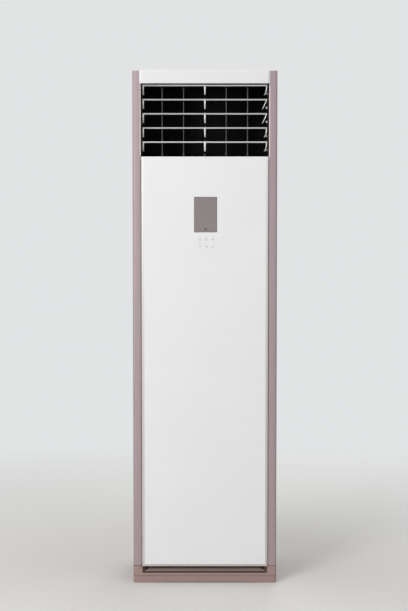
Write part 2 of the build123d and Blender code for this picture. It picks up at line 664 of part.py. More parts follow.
def top_cover():
    """Top cover with the proud front band."""
    wall = TOP_WALL
    narrow = COLUMN_INNER_X - COVER_PLAY
    front_y = COLUMN_FRONT_Y + wall
    half = COLUMN_INNER_X + BAND_OVERLAP
    plan = [(-half, COLUMN_FRONT_Y), (-half, FRONT_Y + BAND_BEVEL_DEEP), (-half + BAND_BEVEL_WIDE, FRONT_Y),
            (half - BAND_BEVEL_WIDE, FRONT_Y), (half, FRONT_Y + BAND_BEVEL_DEEP), (half, COLUMN_FRONT_Y)]
    band = prism_z(plan, BAND_LOW_Z, HEIGHT)
    edges = band.faces().sort_by(Axis.Y)[0].edges().filter_by(Axis.X)
    band = fillet(edges, BAND_EDGE_R)
    body = band + block(-narrow, narrow, COLUMN_FRONT_Y, COLUMN_BACK_Y, BAND_LOW_Z, HEIGHT)
    lid = block(-HALF_W, HALF_W, COLUMN_BACK_Y, BACK_Y, TOP_SEAM_Z, HEIGHT)
    side_and_rear_edges = lid.faces().sort_by(Axis.Z)[-1].edges().sort_by(Axis.Y)[1:]
    body += fillet(side_and_rear_edges, TOP_EDGE_R)
    hollow = block(-narrow + wall, narrow - wall, FRONT_Y + wall, COLUMN_BACK_Y + wall,
                   BAND_LOW_Z + wall, HEIGHT - wall)
    hollow += block(-narrow - 1, narrow + 1, front_y, COLUMN_BACK_Y, BAND_LOW_Z - 1, TOP_SEAM_Z)
    hollow += block(-HALF_W + wall, HALF_W - wall, COLUMN_BACK_Y + wall, BACK_Y - wall,
                    TOP_SEAM_Z - 1, HEIGHT - wall)
    return body - hollow


# ---------------------------------------------------------------- front panel
def key_places():
    """(name, x, z) of the six keys."""
    places = []
    for i, name in enumerate(KEY_NAMES):
        row, column_index = divmod(i, 3)
        places.append((name, KEY_X + (column_index - 1) * KEY_PITCH_X, KEY_TOP_Z - row * KEY_PITCH_Z))
    return places


def front_panel():
    """Moulded front panel with returned edges and a pivot pin at each top corner."""
    half = PANEL_HALF
    low = PANEL_LOW_Z
    body = beveled_slab(half, low, PANEL_TOP_Z, PANEL_BACK_Y, BEVEL_WIDE, BEVEL_DEEP)
    wall = PANEL_WALL
    inset = wall + BEVEL_WIDE
    hollow = block(-half + inset, half - inset, PANEL_INSIDE_Y, PANEL_BACK_Y + 1, low + inset,
                   PANEL_TOP_Z - inset)
    hollow += block(-half + wall, half - wall, FRONT_Y + BEVEL_DEEP + wall, PANEL_BACK_Y + 1,
                    low + wall, PANEL_TOP_Z - wall)
    body -= hollow
    for side in (-1, 1):
        ends = sorted((side * (half - wall), side * (COLUMN_INNER_X + COLUMN_WALL - STUB_END_GAP)))
        body += rod_x(HINGE_R, ends[0], ends[1], HINGE_Y, HINGE_Z)
    body -= block(DISPLAY_X - DISPLAY_WIDTH / 2, DISPLAY_X + DISPLAY_WIDTH / 2, FRONT_Y - 1,
                  PANEL_INSIDE_Y + 1, DISPLAY_Z - DISPLAY_HEIGHT / 2, DISPLAY_Z + DISPLAY_HEIGHT / 2)
    for _, x, z in key_places():
        wide = KEY_WIDTH / 2 + KEY_PLAY
        tall = KEY_HEIGHT / 2 + KEY_PLAY
        body -= block(x - wide, x + wide, FRONT_Y - 1, PANEL_INSIDE_Y + 1, z - tall, z + tall)
    return body


def panel_insulation():
    """Foam sheet behind the front panel, cut out around the display housing."""
    inset = PANEL_WALL + BEVEL_WIDE + INSULATION_MARGIN
    sheet = block(-PANEL_HALF + inset, PANEL_HALF - inset, PANEL_INSIDE_Y, PANEL_INSIDE_Y + INSULATION_THICK,
                  PANEL_LOW_Z + inset, PANEL_TOP_Z - inset)
    gap = INSULATION_MARGIN
    return sheet - block(DISPLAY_X - HOUSING_HALF - gap, DISPLAY_X + HOUSING_HALF + gap,
                         PANEL_INSIDE_Y - 1, PANEL_BACK_Y, HOUSING_LOW_Z - gap, HOUSING_HIGH_Z + gap)


def display_window():
    """Smoked window, flush in the panel, with a flange behind it."""
    wide = DISPLAY_WIDTH / 2 - WINDOW_PLAY
    tall = DISPLAY_HEIGHT / 2 - WINDOW_PLAY
    lens = block(DISPLAY_X - wide, DISPLAY_X + wide, FRONT_Y + WINDOW_RECESS, PANEL_INSIDE_Y,
                 DISPLAY_Z - tall, DISPLAY_Z + tall)
    wide += WINDOW_FLANGE
    tall += WINDOW_FLANGE
    return lens + block(DISPLAY_X - wide, DISPLAY_X + wide, PANEL_INSIDE_Y,
                        PANEL_INSIDE_Y + WINDOW_FLANGE_THICK, DISPLAY_Z - tall, DISPLAY_Z + tall)


def post_places():
    """(x, z) of the posts that carry the display board."""
    x = HOUSING_HALF - HOUSING_WALL - 2 * POST_R
    low = HOUSING_LOW_Z + HOUSING_WALL + 2 * POST_R
    high = HOUSING_HIGH_Z - HOUSING_WALL - 2 * POST_R
    return [(DISPLAY_X + sx * x, z) for sx in (-1, 1) for z in (low, high)]


def display_housing():
    """Shallow box behind the display and the keys, with four posts for the board."""
    back = PANEL_INSIDE_Y + HOUSING_DEPTH
    wall = HOUSING_WALL
    box = block(DISPLAY_X - HOUSING_HALF, DISPLAY_X + HOUSING_HALF, PANEL_INSIDE_Y, back,
                HOUSING_LOW_Z, HOUSING_HIGH_Z)
    box -= block(DISPLAY_X - HOUSING_HALF + wall, DISPLAY_X + HOUSING_HALF - wall, PANEL_INSIDE_Y - 1,
                 back - wall, HOUSING_LOW_Z + wall, HOUSING_HIGH_Z - wall)
    for x, z in post_places():
        box += rod_y(POST_R, x, BOARD_Y + BOARD_THICK, back - wall, z)
    return box


def display_board():
    """Circuit board of the display and the keys."""
    wide = HOUSING_HALF - HOUSING_WALL - WINDOW_PLAY
    low = HOUSING_LOW_Z + HOUSING_WALL + WINDOW_PLAY
    high = HOUSING_HIGH_Z - HOUSING_WALL - WINDOW_PLAY
    board = block(DISPLAY_X - wide, DISPLAY_X + wide, BOARD_Y, BOARD_Y + BOARD_THICK, low, high)
    # The segment module stands on the board behind the window.
    wide = DISPLAY_WIDTH / 2 - MODULE_MARGIN
    tall = DISPLAY_HEIGHT / 2 - MODULE_MARGIN
    front = PANEL_INSIDE_Y + WINDOW_FLANGE_THICK + MODULE_GAP
    return board + block(DISPLAY_X - wide, DISPLAY_X + wide, front, BOARD_Y,
                         DISPLAY_Z - tall, DISPLAY_Z + tall)


def key(x, z):
    """A push key: cap, flange behind the panel, stem to the board."""
    wide = KEY_WIDTH / 2
    tall = KEY_HEIGHT / 2
    cap = block(x - wide, x + wide, FRONT_Y + KEY_RECESS, PANEL_INSIDE_Y, z - tall, z + tall)
    front_edges = cap.faces().sort_by(Axis.Y)[0].edges()
    cap = chamfer(front_edges, KEY_PLAY)
    wide += KEY_FLANGE
    tall += KEY_FLANGE
    flange_back = PANEL_INSIDE_Y + KEY_FLANGE
    cap += block(x - wide, x + wide, PANEL_INSIDE_Y, flange_back, z - tall, z + tall)
    return cap + rod_y(KEY_STEM_R, x, flange_back, BOARD_Y - KEY_STEM_GAP, z)


# ---------------------------------------------------------------- air outlet
def outlet_frame():
    """Black frame around the outlet: cheeks, roof, sill, front lip and apron."""
    front, back = FRAME_FRONT_Y, FRAME_BACK_Y
    sill_front = FRONT_Y + FRAME_SILL_SETBACK
    sill_low = FRAME_SILL_Z - FRAME_FLOOR_THICK
    outer, inner = COLUMN_INNER_X, FRAME_HALF
    body = block(-outer, outer, sill_front, back, sill_low, FRAME_SILL_Z)
    for side in (-1, 1):
        x0, x1 = sorted((side * inner, side * outer))
        cheek = block(x0, x1, front, back, sill_low, FRAME_TOP_Z)
        cheek -= block(x0 - 1, x1 + 1, front - 1, sill_front, sill_low - 1, FRAME_SILL_Z + 1)
        body += cheek
    body += block(-outer, outer, front, back, FRAME_TOP_Z, FRAME_ROOF_Z)
    body += block(-inner, inner, front, front + FRAME_LIP, BAND_LOW_Z, FRAME_TOP_Z)
    body += block(-inner, inner, DUCT_FRONT_Y, DUCT_FRONT_Y + APRON_THICK, APRON_LOW_Z, sill_low)
    body -= rod_x(SHAFT_HOLE_R, inner - 1, outer + 1, LOUVER_PIVOT_Y, LOUVER_Z[0])
    body -= rod_z(SHAFT_HOLE_R, VANE_X[0], VANE_PIVOT_Y, sill_low - 1, FRAME_SILL_Z + 1)
    return body


def bearing_strip():
    """Right bearing strip with one bore for each louver."""
    low = LOUVER_Z[-1] - STRIP_DEPTH / 2 - STRIP_MARGIN
    high = LOUVER_Z[0] + STRIP_DEPTH / 2 + STRIP_MARGIN
    strip = block(STRIP_X, FRAME_HALF, LOUVER_PIVOT_Y - STRIP_DEPTH / 2, LOUVER_PIVOT_Y + STRIP_DEPTH / 2,
                  low, high)
    for z in LOUVER_Z:
        strip -= rod_x(STUB_R + STUB_PLAY, STRIP_X - 1, FRAME_HALF + 1, LOUVER_PIVOT_Y, z)
    return strip


def bearing_strips():
    """Both bearing strips."""
    strip = bearing_strip()
    return Compound([strip, mirrored(strip)])


def louver(number):
    """One horizontal louver, drawn about its own pivot and then put in place."""
    skin_z = LOUVER_RISE - LOUVER_SKIN
    lip_z = LOUVER_RISE - LOUVER_LIP
    lip_y = -LOUVER_REACH + LOUVER_LIP_THICK
    section = [(-LOUVER_REACH, lip_z), (lip_y, lip_z), (lip_y, skin_z), (LOUVER_TAIL, skin_z),
               (LOUVER_TAIL, LOUVER_RISE), (-LOUVER_REACH, LOUVER_RISE)]
    body = prism_x(section, -LOUVER_HALF, LOUVER_HALF)
    gusset = [(lip_y, skin_z + 1), (LOUVER_TAIL - GUSSET_INSET, skin_z + 1), (RIB_TAIL, -RIB_TAIL),
              (-RIB_TAIL, -RIB_TAIL)]
    tip = RIB_WIDTH if number == LOUVER_COUNT else RIB_TIP_WIDTH
    taper = [(-RIB_WIDTH / 2, skin_z + 1), (-tip / 2, -RIB_TAIL), (tip / 2, -RIB_TAIL),
             (RIB_WIDTH / 2, skin_z + 1)]
    body += prism_x(gusset, -RIB_WIDTH / 2, RIB_WIDTH / 2) & prism_y(taper, -LOUVER_REACH, LOUVER_TAIL)
    reach = CRANK_BOSS_R
    arm = [(-RIB_TAIL, -RIB_TAIL), (CRANK_Y, CRANK_Z - reach), (CRANK_Y, CRANK_Z + reach), (0, RIB_TAIL)]
    body += prism_x(arm, -CRANK_THICK / 2, CRANK_THICK / 2)
    body += rod_x(CRANK_BOSS_R, -CRANK_THICK / 2, RIB_WIDTH / 2, CRANK_Y, CRANK_Z)
    body += rod_x(PIN_R, RIB_WIDTH / 2, LOUVER_LINK_X + LINK_THICK + LINK_GAP, CRANK_Y, CRANK_Z)
    for side in (-1, 1):
        x0, x1 = sorted((side * (LOUVER_HALF - CHEEK_THICK), side * LOUVER_HALF))
        body += prism_x(gusset, x0, x1)
        x0, x1 = sorted((side * (LOUVER_HALF - BOSS_LENGTH), side * LOUVER_HALF))
        body += rod_x(BOSS_R, x0, x1, 0, 0)
        x0, x1 = sorted((side * LOUVER_HALF, side * (FRAME_HALF - STUB_END_GAP)))
        body += rod_x(STUB_R, x0, x1, 0, 0)
    if number in LEVER_LOUVERS:
        root = LOUVER_HALF - CHEEK_THICK
        lever = [(root - LEVER_WIDTH, skin_z + 1), (root, skin_z + 1), (root - LEVER_LEAN, -RIB_TAIL),
                 (root - LEVER_LEAN - LEVER_WIDTH, -RIB_TAIL)]
        body += prism_y(lever, -LEVER_THICK / 2, LEVER_THICK / 2)
    if number == 1:
        shaft_tip = COLUMN_INNER_X + COLUMN_WALL - STEPPER_SHAFT - STUB_END_GAP
        body -= rod_x(STEPPER_SHAFT_R + SHAFT_PLAY, shaft_tip, FRAME_HALF, 0, 0)
    return Pos(0, LOUVER_PIVOT_Y, LOUVER_Z[number - 1]) * body


def louver_link():
    """Upright bar that joins the louvers' crank pins."""
    x0 = LOUVER_LINK_X
    y = LOUVER_PIVOT_Y + CRANK_Y
    low = LOUVER_Z[-1] + CRANK_Z
    high = LOUVER_Z[0] + CRANK_Z
    bar = block(x0, x0 + LINK_THICK, y - LINK_WIDTH / 2, y + LINK_WIDTH / 2, low, high)
    bar += rod_x(LINK_WIDTH / 2, x0, x0 + LINK_THICK, y, low)
    bar += rod_x(LINK_WIDTH / 2, x0, x0 + LINK_THICK, y, high)
    for z in LOUVER_Z:
        bar -= rod_x(PIN_R + PIN_PLAY, x0 - 1, x0 + LINK_THICK + 1, y, z + CRANK_Z)
    return bar


def vane_rails():
    """Lower and upper rails that carry the vanes."""
    rails = []
    for low, high in ((FRAME_SILL_Z, RAIL_LOW_TOP_Z), (RAIL_HIGH_LOW_Z, FRAME_TOP_Z)):
        rail = block(-FRAME_HALF, FRAME_HALF, VANE_PIVOT_Y - VANE_RAIL_DEPTH / 2,
                     VANE_PIVOT_Y + VANE_RAIL_DEPTH / 2, low, high)
        for x in VANE_X:
            rail -= rod_z(STUB_R + STUB_PLAY, x, VANE_PIVOT_Y, low - 1, high + 1)
        rails.append(rail)
    return Compound(rails)


def vane(number):
    """One upright vane with a boss and stub at each end and a crank pin below."""
    x = VANE_X[number - 1]
    y = VANE_PIVOT_Y
    plate = block(x - VANE_THICK / 2, x + VANE_THICK / 2, y - VANE_FRONT_REACH, y + VANE_REAR_REACH,
                  VANE_LOW_Z, VANE_HIGH_Z)
    corners = plate.edges().filter_by(Axis.X)
    body = fillet(corners, VANE_CORNER_R)
    low_boss = RAIL_LOW_TOP_Z + VANE_RAIL_GAP
    high_boss = RAIL_HIGH_LOW_Z - VANE_RAIL_GAP
    body += rod_z(VANE_BOSS_R, x, y, low_boss, low_boss + VANE_BOSS_LENGTH)
    body += rod_z(VANE_BOSS_R, x, y, high_boss - VANE_BOSS_LENGTH, high_boss)
    body += rod_z(STUB_R, x, y, FRAME_SILL_Z + STUB_END_GAP, low_boss)
    body += rod_z(STUB_R, x, y, high_boss, FRAME_TOP_Z - STUB_END_GAP)
    pin_y = y + VANE_CRANK
    pin_boss = VANE_LINK_Z + LINK_THICK + LINK_GAP
    body += rod_z(VANE_PIN_BOSS_R, x, pin_y, pin_boss, VANE_LOW_Z + VANE_PIN_BOSS_R)
    body += rod_z(PIN_R, x, pin_y, VANE_LINK_Z - LINK_GAP, pin_boss)
    if number == 1:
        shaft_tip = FRAME_SILL_Z - FRAME_FLOOR_THICK + STEPPER_SHAFT + STUB_END_GAP
        body -= rod_z(STEPPER_SHAFT_R + SHAFT_PLAY, x, y, FRAME_SILL_Z, shaft_tip)
    return body


def vane_link():
    """Flat bar that joins the vanes' crank pins."""
    y = VANE_PIVOT_Y + VANE_CRANK
    low, high = VANE_LINK_Z, VANE_LINK_Z + LINK_THICK
    bar = block(VANE_X[0], VANE_X[-1], y - LINK_WIDTH / 2, y + LINK_WIDTH / 2, low, high)
    for x in (VANE_X[0], VANE_X[-1]):
        bar += rod_z(LINK_WIDTH / 2, x, y, low, high)
    for x in VANE_X:
        bar -= rod_z(PIN_R + PIN_PLAY, x, y, low - 1, high + 1)
    return bar


def stepper_motors():
    """Two equal geared motors: one turns the louvers, one the vanes."""
    x = COLUMN_INNER_X + COLUMN_WALL
    louver_motor = rod_x(STEPPER_R, x, x + STEPPER_LENGTH, LOUVER_PIVOT_Y, LOUVER_Z[0])
    louver_motor += rod_x(STEPPER_SHAFT_R, x - STEPPER_SHAFT, x, LOUVER_PIVOT_Y, LOUVER_Z[0])
    z = FRAME_SILL_Z - FRAME_FLOOR_THICK
    vane_motor = rod_z(STEPPER_R, VANE_X[0], VANE_PIVOT_Y, z - STEPPER_LENGTH, z)
    vane_motor += rod_z(STEPPER_SHAFT_R, VANE_X[0], VANE_PIVOT_Y, z, z + STEPPER_SHAFT)
    return Compound([louver_motor, vane_motor])


# ---------------------------------------------------------------- fan
def fan_wheel():
    """Double-inlet wheel: disc, hub, two end rings and forward-leaning blades."""
    start = WHEEL_EYE_R
    half = BLADE_THICK / 2
    lean = math.tan(math.radians(BLADE_LEAN)) * (WHEEL_R - start)
    tip = WHEEL_R - BLADE_INSET
    outline = [(start, -half), (tip, lean - half), (tip, lean + half), (start, half)]
    blade = prism_x(outline, -WHEEL_HALF + WHEEL_RING / 2, WHEEL_HALF - WHEEL_RING / 2)
    blades = [Rot(i * 360 / BLADE_COUNT, 0, 0) * blade for i in range(BLADE_COUNT)]
    outer = math.hypot(WHEEL_R, lean)
    disc = rod_x(WHEEL_R, -WHEEL_DISC / 2, WHEEL_DISC / 2, 0, 0)
    hub = rod_x(HUB_R, -HUB_LENGTH / 2, HUB_LENGTH / 2, 0, 0)
    rings = []
    for x in (-WHEEL_HALF, WHEEL_HALF - WHEEL_RING):
        ring = rod_x(outer, x, x + WHEEL_RING, 0, 0)
        rings.append(ring - rod_x(start + BLADE_HOLD, x - 1, x + WHEEL_RING + 1, 0, 0))
    wheel = disc + [hub] + rings + blades
    wheel -= rod_x(SHAFT_R, -HUB_LENGTH, HUB_LENGTH, 0, 0)
    return Pos(0, FAN_Y, FAN_Z) * wheel


def fan_shaft():
    """Motor shaft that carries the wheel's hub."""
    return rod_x(SHAFT_R, -HUB_LENGTH / 2, SHAFT_END_X, FAN_Y, FAN_Z)


def scroll_profile(shrink):
    """Side view of the fan housing: a round body with an upward chute."""
    chute = Pos((CHUTE_FRONT_Y + CHUTE_BACK_Y) / 2, (SCROLL_Z + DECK_Z) / 2) \
        * Rectangle(CHUTE_BACK_Y - CHUTE_FRONT_Y - 2 * shrink, DECK_Z - SCROLL_Z)
    return Pos(SCROLL_Y, SCROLL_Z) * Circle(SCROLL_R - shrink) + chute


def fan_scroll():
    """Fan housing with a round hole in each side plate, open at the top of its chute."""
    body = extrude(Plane.YZ.offset(-SCROLL_HALF) * scroll_profile(0), 2 * SCROLL_HALF)
    inner_half = SCROLL_HALF - SCROLL_SHEET
    body -= extrude(Plane.YZ.offset(-inner_half) * scroll_profile(SCROLL_SHEET), 2 * inner_half)
    return body - rod_x(INLET_HOLE_R, -SCROLL_HALF - 1, SCROLL_HALF + 1, FAN_Y, FAN_Z)


def inlet_ring():
    """Right inlet ring: a flange on the side plate and a rolled lip into the wheel's eye."""
    ring = rod_x(INLET_FLANGE_R, SCROLL_HALF, SCROLL_HALF + INLET_FLANGE, FAN_Y, FAN_Z)
    ring += rod_x(INLET_R + INLET_WALL, SCROLL_HALF - INLET_LIP, SCROLL_HALF, FAN_Y, FAN_Z)
    ring -= rod_x(INLET_R, SCROLL_HALF - INLET_LIP - 1, SCROLL_HALF + INLET_FLANGE + 1, FAN_Y, FAN_Z)
    mouth = ring.edges().filter_by(GeomType.CIRCLE).group_by(Axis.X)[-1].sort_by(SortBy.LENGTH)[0]
    return fillet(mouth, INLET_MOUTH_R)


def inlet_rings():
    """Both inlet rings."""
    ring = inlet_ring()
    return Compound([ring, mirrored(ring)])


def fan_motor():
    """Fan motor with a smaller bearing boss at each end."""
    end = MOTOR_X + MOTOR_LENGTH
    body = rod_x(MOTOR_R, MOTOR_X, end, FAN_Y, FAN_Z)
    body = fillet(body.edges().filter_by(GeomType.CIRCLE), MOTOR_EDGE_R)
    body += rod_x(MOTOR_END_R, MOTOR_X - MOTOR_END, end + MOTOR_END, FAN_Y, FAN_Z)
    return body - rod_x(SHAFT_R + BEARING_PLAY, MOTOR_X - 2 * MOTOR_END, end + 2 * MOTOR_END, FAN_Y, FAN_Z)


def motor_bracket():
    """Band around the motor with three arms to the fan housing."""
    x0 = MOTOR_X + (MOTOR_LENGTH - BAND_LENGTH) / 2
    x1 = x0 + BAND_LENGTH
    band = rod_x(MOTOR_R + BAND_THICK, x0, x1, 0, 0)
    for i in range(ARM_COUNT):
        turn = Rot(i * 360 / ARM_COUNT, 0, 0)
        band += turn * block(x0, x0 + 2 * ARM_R, MOTOR_R, ARM_CIRCLE_R, -ARM_R, ARM_R)
        band += turn * rod_x(ARM_R, SCROLL_HALF, x0 + 2 * ARM_R, ARM_CIRCLE_R, 0)
    band -= rod_x(MOTOR_R, x0 - 1, x1 + 1, 0, 0)
    return Pos(0, FAN_Y, FAN_Z) * band


# ---------------------------------------------------------------- partition and air duct
def grommet_places():
    """(x, y, radius) of the pipes that pass through the partition."""
    return [(SUCTION_X, PIPE_Y, SUCTION_R), (LIQUID_X, PIPE_Y, LIQUID_R), (DRAIN_X, DRAIN_Y, DRAIN_R)]


def fan_deck():
    """Partition over the fan chamber, with the chute's hole and the pipe holes."""
    deck = block(-SIDE_INSIDE_X, SIDE_INSIDE_X, DECK_FRONT_Y, BACK_INSIDE_Y, DECK_Z, DECK_TOP_Z)
    for side in (-1, 1):
        x0, x1 = sorted((side * COLUMN_INNER_X, side * HALF_W))
        deck -= block(x0, x1, DECK_FRONT_Y - 1, COLUMN_BACK_Y + SHEET, DECK_Z - 1, DECK_TOP_Z + 1)
        x0, x1 = sorted((side * (SIDE_INSIDE_X - FOLD), side * HALF_W))
        deck -= block(x0, x1, BACK_INSIDE_Y - SHEET, BACK_INSIDE_Y + 1, DECK_Z - 1, DECK_TOP_Z + 1)
    inner = SCROLL_HALF - SCROLL_SHEET
    deck -= block(-inner, inner, CHUTE_FRONT_Y + SCROLL_SHEET, CHUTE_BACK_Y - SCROLL_SHEET,
                  DECK_Z - 1, DECK_TOP_Z + 1)
    for x, y, radius in grommet_places():
        deck -= rod_z(radius + GROMMET_PLAY, x, y, DECK_Z - 1, DECK_TOP_Z + 1)
    return deck


def air_duct():
    """Foam duct from the partition to the outlet, with a roof block under the top cover."""
    side_top = TOP_SEAM_Z - COVER_PLAY
    front_top = APRON_LOW_Z
    roof_high = HEIGHT - TOP_WALL
    roof_low = FRAME_ROOF_Z
    duct = block(-SIDE_INSIDE_X, SIDE_INSIDE_X, DUCT_INNER_BACK_Y, DUCT_BACK_Y, DECK_TOP_Z, side_top)
    duct += block(-DUCT_INNER_X, DUCT_INNER_X, DUCT_FRONT_Y, DUCT_INNER_FRONT_Y, DECK_TOP_Z, front_top)
    for side in (-1, 1):
        x0, x1 = sorted((side * DUCT_INNER_X, side * SIDE_INSIDE_X))
        duct += block(x0, x1, DUCT_FRONT_Y, DUCT_BACK_Y, DECK_TOP_Z, side_top)
    wide = HALF_W - TOP_WALL - COVER_PLAY
    narrow = COLUMN_INNER_X - TOP_WALL - 2 * COVER_PLAY
    duct += block(-wide, wide, DUCT_FRONT_Y, DUCT_BACK_Y, side_top - 1, roof_high)
    duct += block(-narrow, narrow, FRAME_FRONT_Y + FRAME_LIP, DUCT_BACK_Y, roof_low, roof_high)
    pocket_x = fixing_range(0, POCKET_PLAY)
    pocket_z = fixing_range(FIXING_Z, POCKET_PLAY, FIXING_MARGIN)
    duct -= block(*pocket_x, DUCT_INNER_BACK_Y + POCKET_WALL, DUCT_BACK_Y + 1, *pocket_z)
    for x, z in screw_places():
        duct -= rod_y(SCREW_POCKET_R, x, BACK_SHEET_Y - SCREW_LENGTH - 1, DUCT_BACK_Y + 1, z)
    return duct


def drip_tray():
    """Condensate tray under the evaporator's lower edge, with its outlet stub."""
    wall = TRAY_WALL
    low = DECK_TOP_Z
    tray = block(-TRAY_HALF, TRAY_HALF, TRAY_FRONT_Y, TRAY_BACK_Y, low, low + TRAY_HEIGHT)
    tray -= block(-TRAY_HALF + wall, TRAY_HALF - wall, TRAY_FRONT_Y + wall, TRAY_BACK_Y - wall,
                  low + wall, low + TRAY_HEIGHT + 1)
    return tray - rod_z(DRAIN_R - DRAIN_WALL, DRAIN_X, DRAIN_Y, low - 1, low + wall + 1)


# ---------------------------------------------------------------- evaporator
def coil_frame(shape):
    """Put a shape drawn in the coil's own axes at the coil's place and lean."""
    return Pos(0, COIL_FOOT_Y, COIL_FOOT_Z) * Rot(-COIL_LEAN, 0, 0) * shape


def tube_places():
    """(y, z) of the tubes in the coil's own axes."""
    places = []
    for column_index in range(TUBE_COLUMNS):
        y = -COIL_THICK / 2 + TUBE_EDGE + column_index * (COIL_THICK - 2 * TUBE_EDGE) / (TUBE_COLUMNS - 1)
        for row in range(TUBE_ROWS):
            places.append((y, TUBE_FOOT + row * (COIL_LENGTH - 2 * TUBE_FOOT) / (TUBE_ROWS - 1)))
    return places


def tube_holes(x0, x1):
    """Clearance for all tubes over a stretch of X."""
    return [rod_x(TUBE_R + TUBE_PLAY, x0, x1, y, z) for y, z in tube_places()]


def evaporator_fins():
    """Fin pack of the evaporator."""
    half = COIL_HALF
    pack = block(-half, half, -COIL_THICK / 2, COIL_THICK / 2, 0, COIL_LENGTH)
    return coil_frame(pack - tube_holes(-half - 1, half + 1))


def evaporator_end_plates():
    """End plates that stand in the tray and bear on the duct's rear wall."""
    lean = math.radians(COIL_LEAN)
    top_y = COIL_FOOT_Y + COIL_LENGTH * math.sin(lean)
    top_z = COIL_FOOT_Z + COIL_LENGTH * math.cos(lean)
    plates = []
    half = COIL_HALF
    for x0, x1 in ((-half - END_PLATE, -half), (half, half + END_PLATE)):
        plate = coil_frame(block(x0, x1, -COIL_THICK / 2, COIL_THICK / 2, 0, COIL_LENGTH))
        plate += block(x0, x1, top_y, DUCT_INNER_BACK_Y, top_z - END_TAB, top_z)
        plate += block(x0, x1, COIL_FOOT_Y - END_LEG / 2, COIL_FOOT_Y + END_LEG / 2,
                       DECK_TOP_Z + TRAY_WALL, COIL_FOOT_Z + END_TAB)
        plate -= [coil_frame(hole) for hole in tube_holes(x0 - 1, x1 + 1)]
        plates.append(plate)
    return Compound(plates)


def return_bend(x, side, y, z0, z1):
    """Half ring of tube that joins two neighbouring tubes in one column."""
    bend = Torus((z1 - z0) / 2, TUBE_R)
    bend = Rot(90, 0, 0) * bend
    reach = (z1 - z0) / 2 + 2 * TUBE_R
    x0, x1 = sorted((0, side * reach))
    return Pos(x, y, (z0 + z1) / 2) * (bend & block(x0, x1, -reach, reach, -reach, reach))


def evaporator_tubes():
    """Straight tubes through the fins with return bends outside the end plates."""
    end = COIL_HALF + END_PLATE + TUBE_STAND
    places = tube_places()
    solids = []
    for y, z in places:
        solids.append(rod_x(TUBE_R, -end, end, y, z))
    for column_index in range(TUBE_COLUMNS):
        column_places = places[column_index * TUBE_ROWS:(column_index + 1) * TUBE_ROWS]
        for row in range(TUBE_ROWS - 1):
            side = 1 if row % 2 else -1
            y, z0 = column_places[row]
            solids.append(return_bend(side * end, side, y, z0, column_places[row + 1][1]))
    return Compound([coil_frame(solid) for solid in solids])


# ---------------------------------------------------------------- pipes
def bent_tube(x, y, top_z, low_z, end_y, bend_r, radius, wall):
    """A tube that comes down, bends to the rear and runs level."""
    down = rod_z(radius, x, y, low_z + bend_r, top_z) - rod_z(radius - wall, x, y, low_z, top_z + 1)
    level = rod_y(radius, x, y + bend_r, end_y, low_z) - rod_y(radius - wall, x, y, end_y + 1, low_z)
    ring = Torus(bend_r, radius) - Torus(bend_r, radius - wall)
    ring = Rot(0, 90, 0) * ring
    quarter = ring & block(-radius, radius, -bend_r - radius, 0, -bend_r - radius, 0)
    elbow = Pos(x, y + bend_r, low_z + bend_r) * quarter
    return down + elbow + level


def hexagon_y(x, z, across_r, y0, y1):
    """A hexagon nut's body along Y."""
    return extrude(Plane.XZ.offset(-y0) * Pos(x, z) * RegularPolygon(across_r, 6), y1 - y0, dir=(0, 1, 0))


def refrigerant_pipes():
    """Suction and liquid pipes, each ending in a flare union that faces the rear window."""
    solids = []
    for x, radius, union_r in ((SUCTION_X, SUCTION_R, SUCTION_UNION_R), (LIQUID_X, LIQUID_R, LIQUID_UNION_R)):
        union_y = PORT_Y - UNION_LENGTH
        nut_y = union_y - NUT_LENGTH
        solids.append(bent_tube(x, PIPE_Y, PIPE_TOP_Z, PIPE_Z, nut_y, PIPE_BEND_R, radius, PIPE_WALL))
        union = rod_y(union_r, x, union_y, PORT_Y, PIPE_Z)
        union += hexagon_y(x, PIPE_Z, union_r + NUT_MARGIN, nut_y, union_y)
        solids.append(union - rod_y(radius - PIPE_WALL, x, nut_y - 1, PORT_Y + 1, PIPE_Z))
    return Compound(solids)


def drain_pipe():
    """Drain from the tray to a spigot that faces the rear window."""
    end = PORT_Y - SPIGOT_LENGTH
    pipe = bent_tube(DRAIN_X, DRAIN_Y, DECK_TOP_Z, DRAIN_Z, end, DRAIN_BEND_R, DRAIN_R, DRAIN_WALL)
    spigot = rod_y(SPIGOT_R, DRAIN_X, end, PORT_Y, DRAIN_Z)
    return pipe + (spigot - rod_y(DRAIN_R - DRAIN_WALL, DRAIN_X, end - 1, PORT_Y + 1, DRAIN_Z))


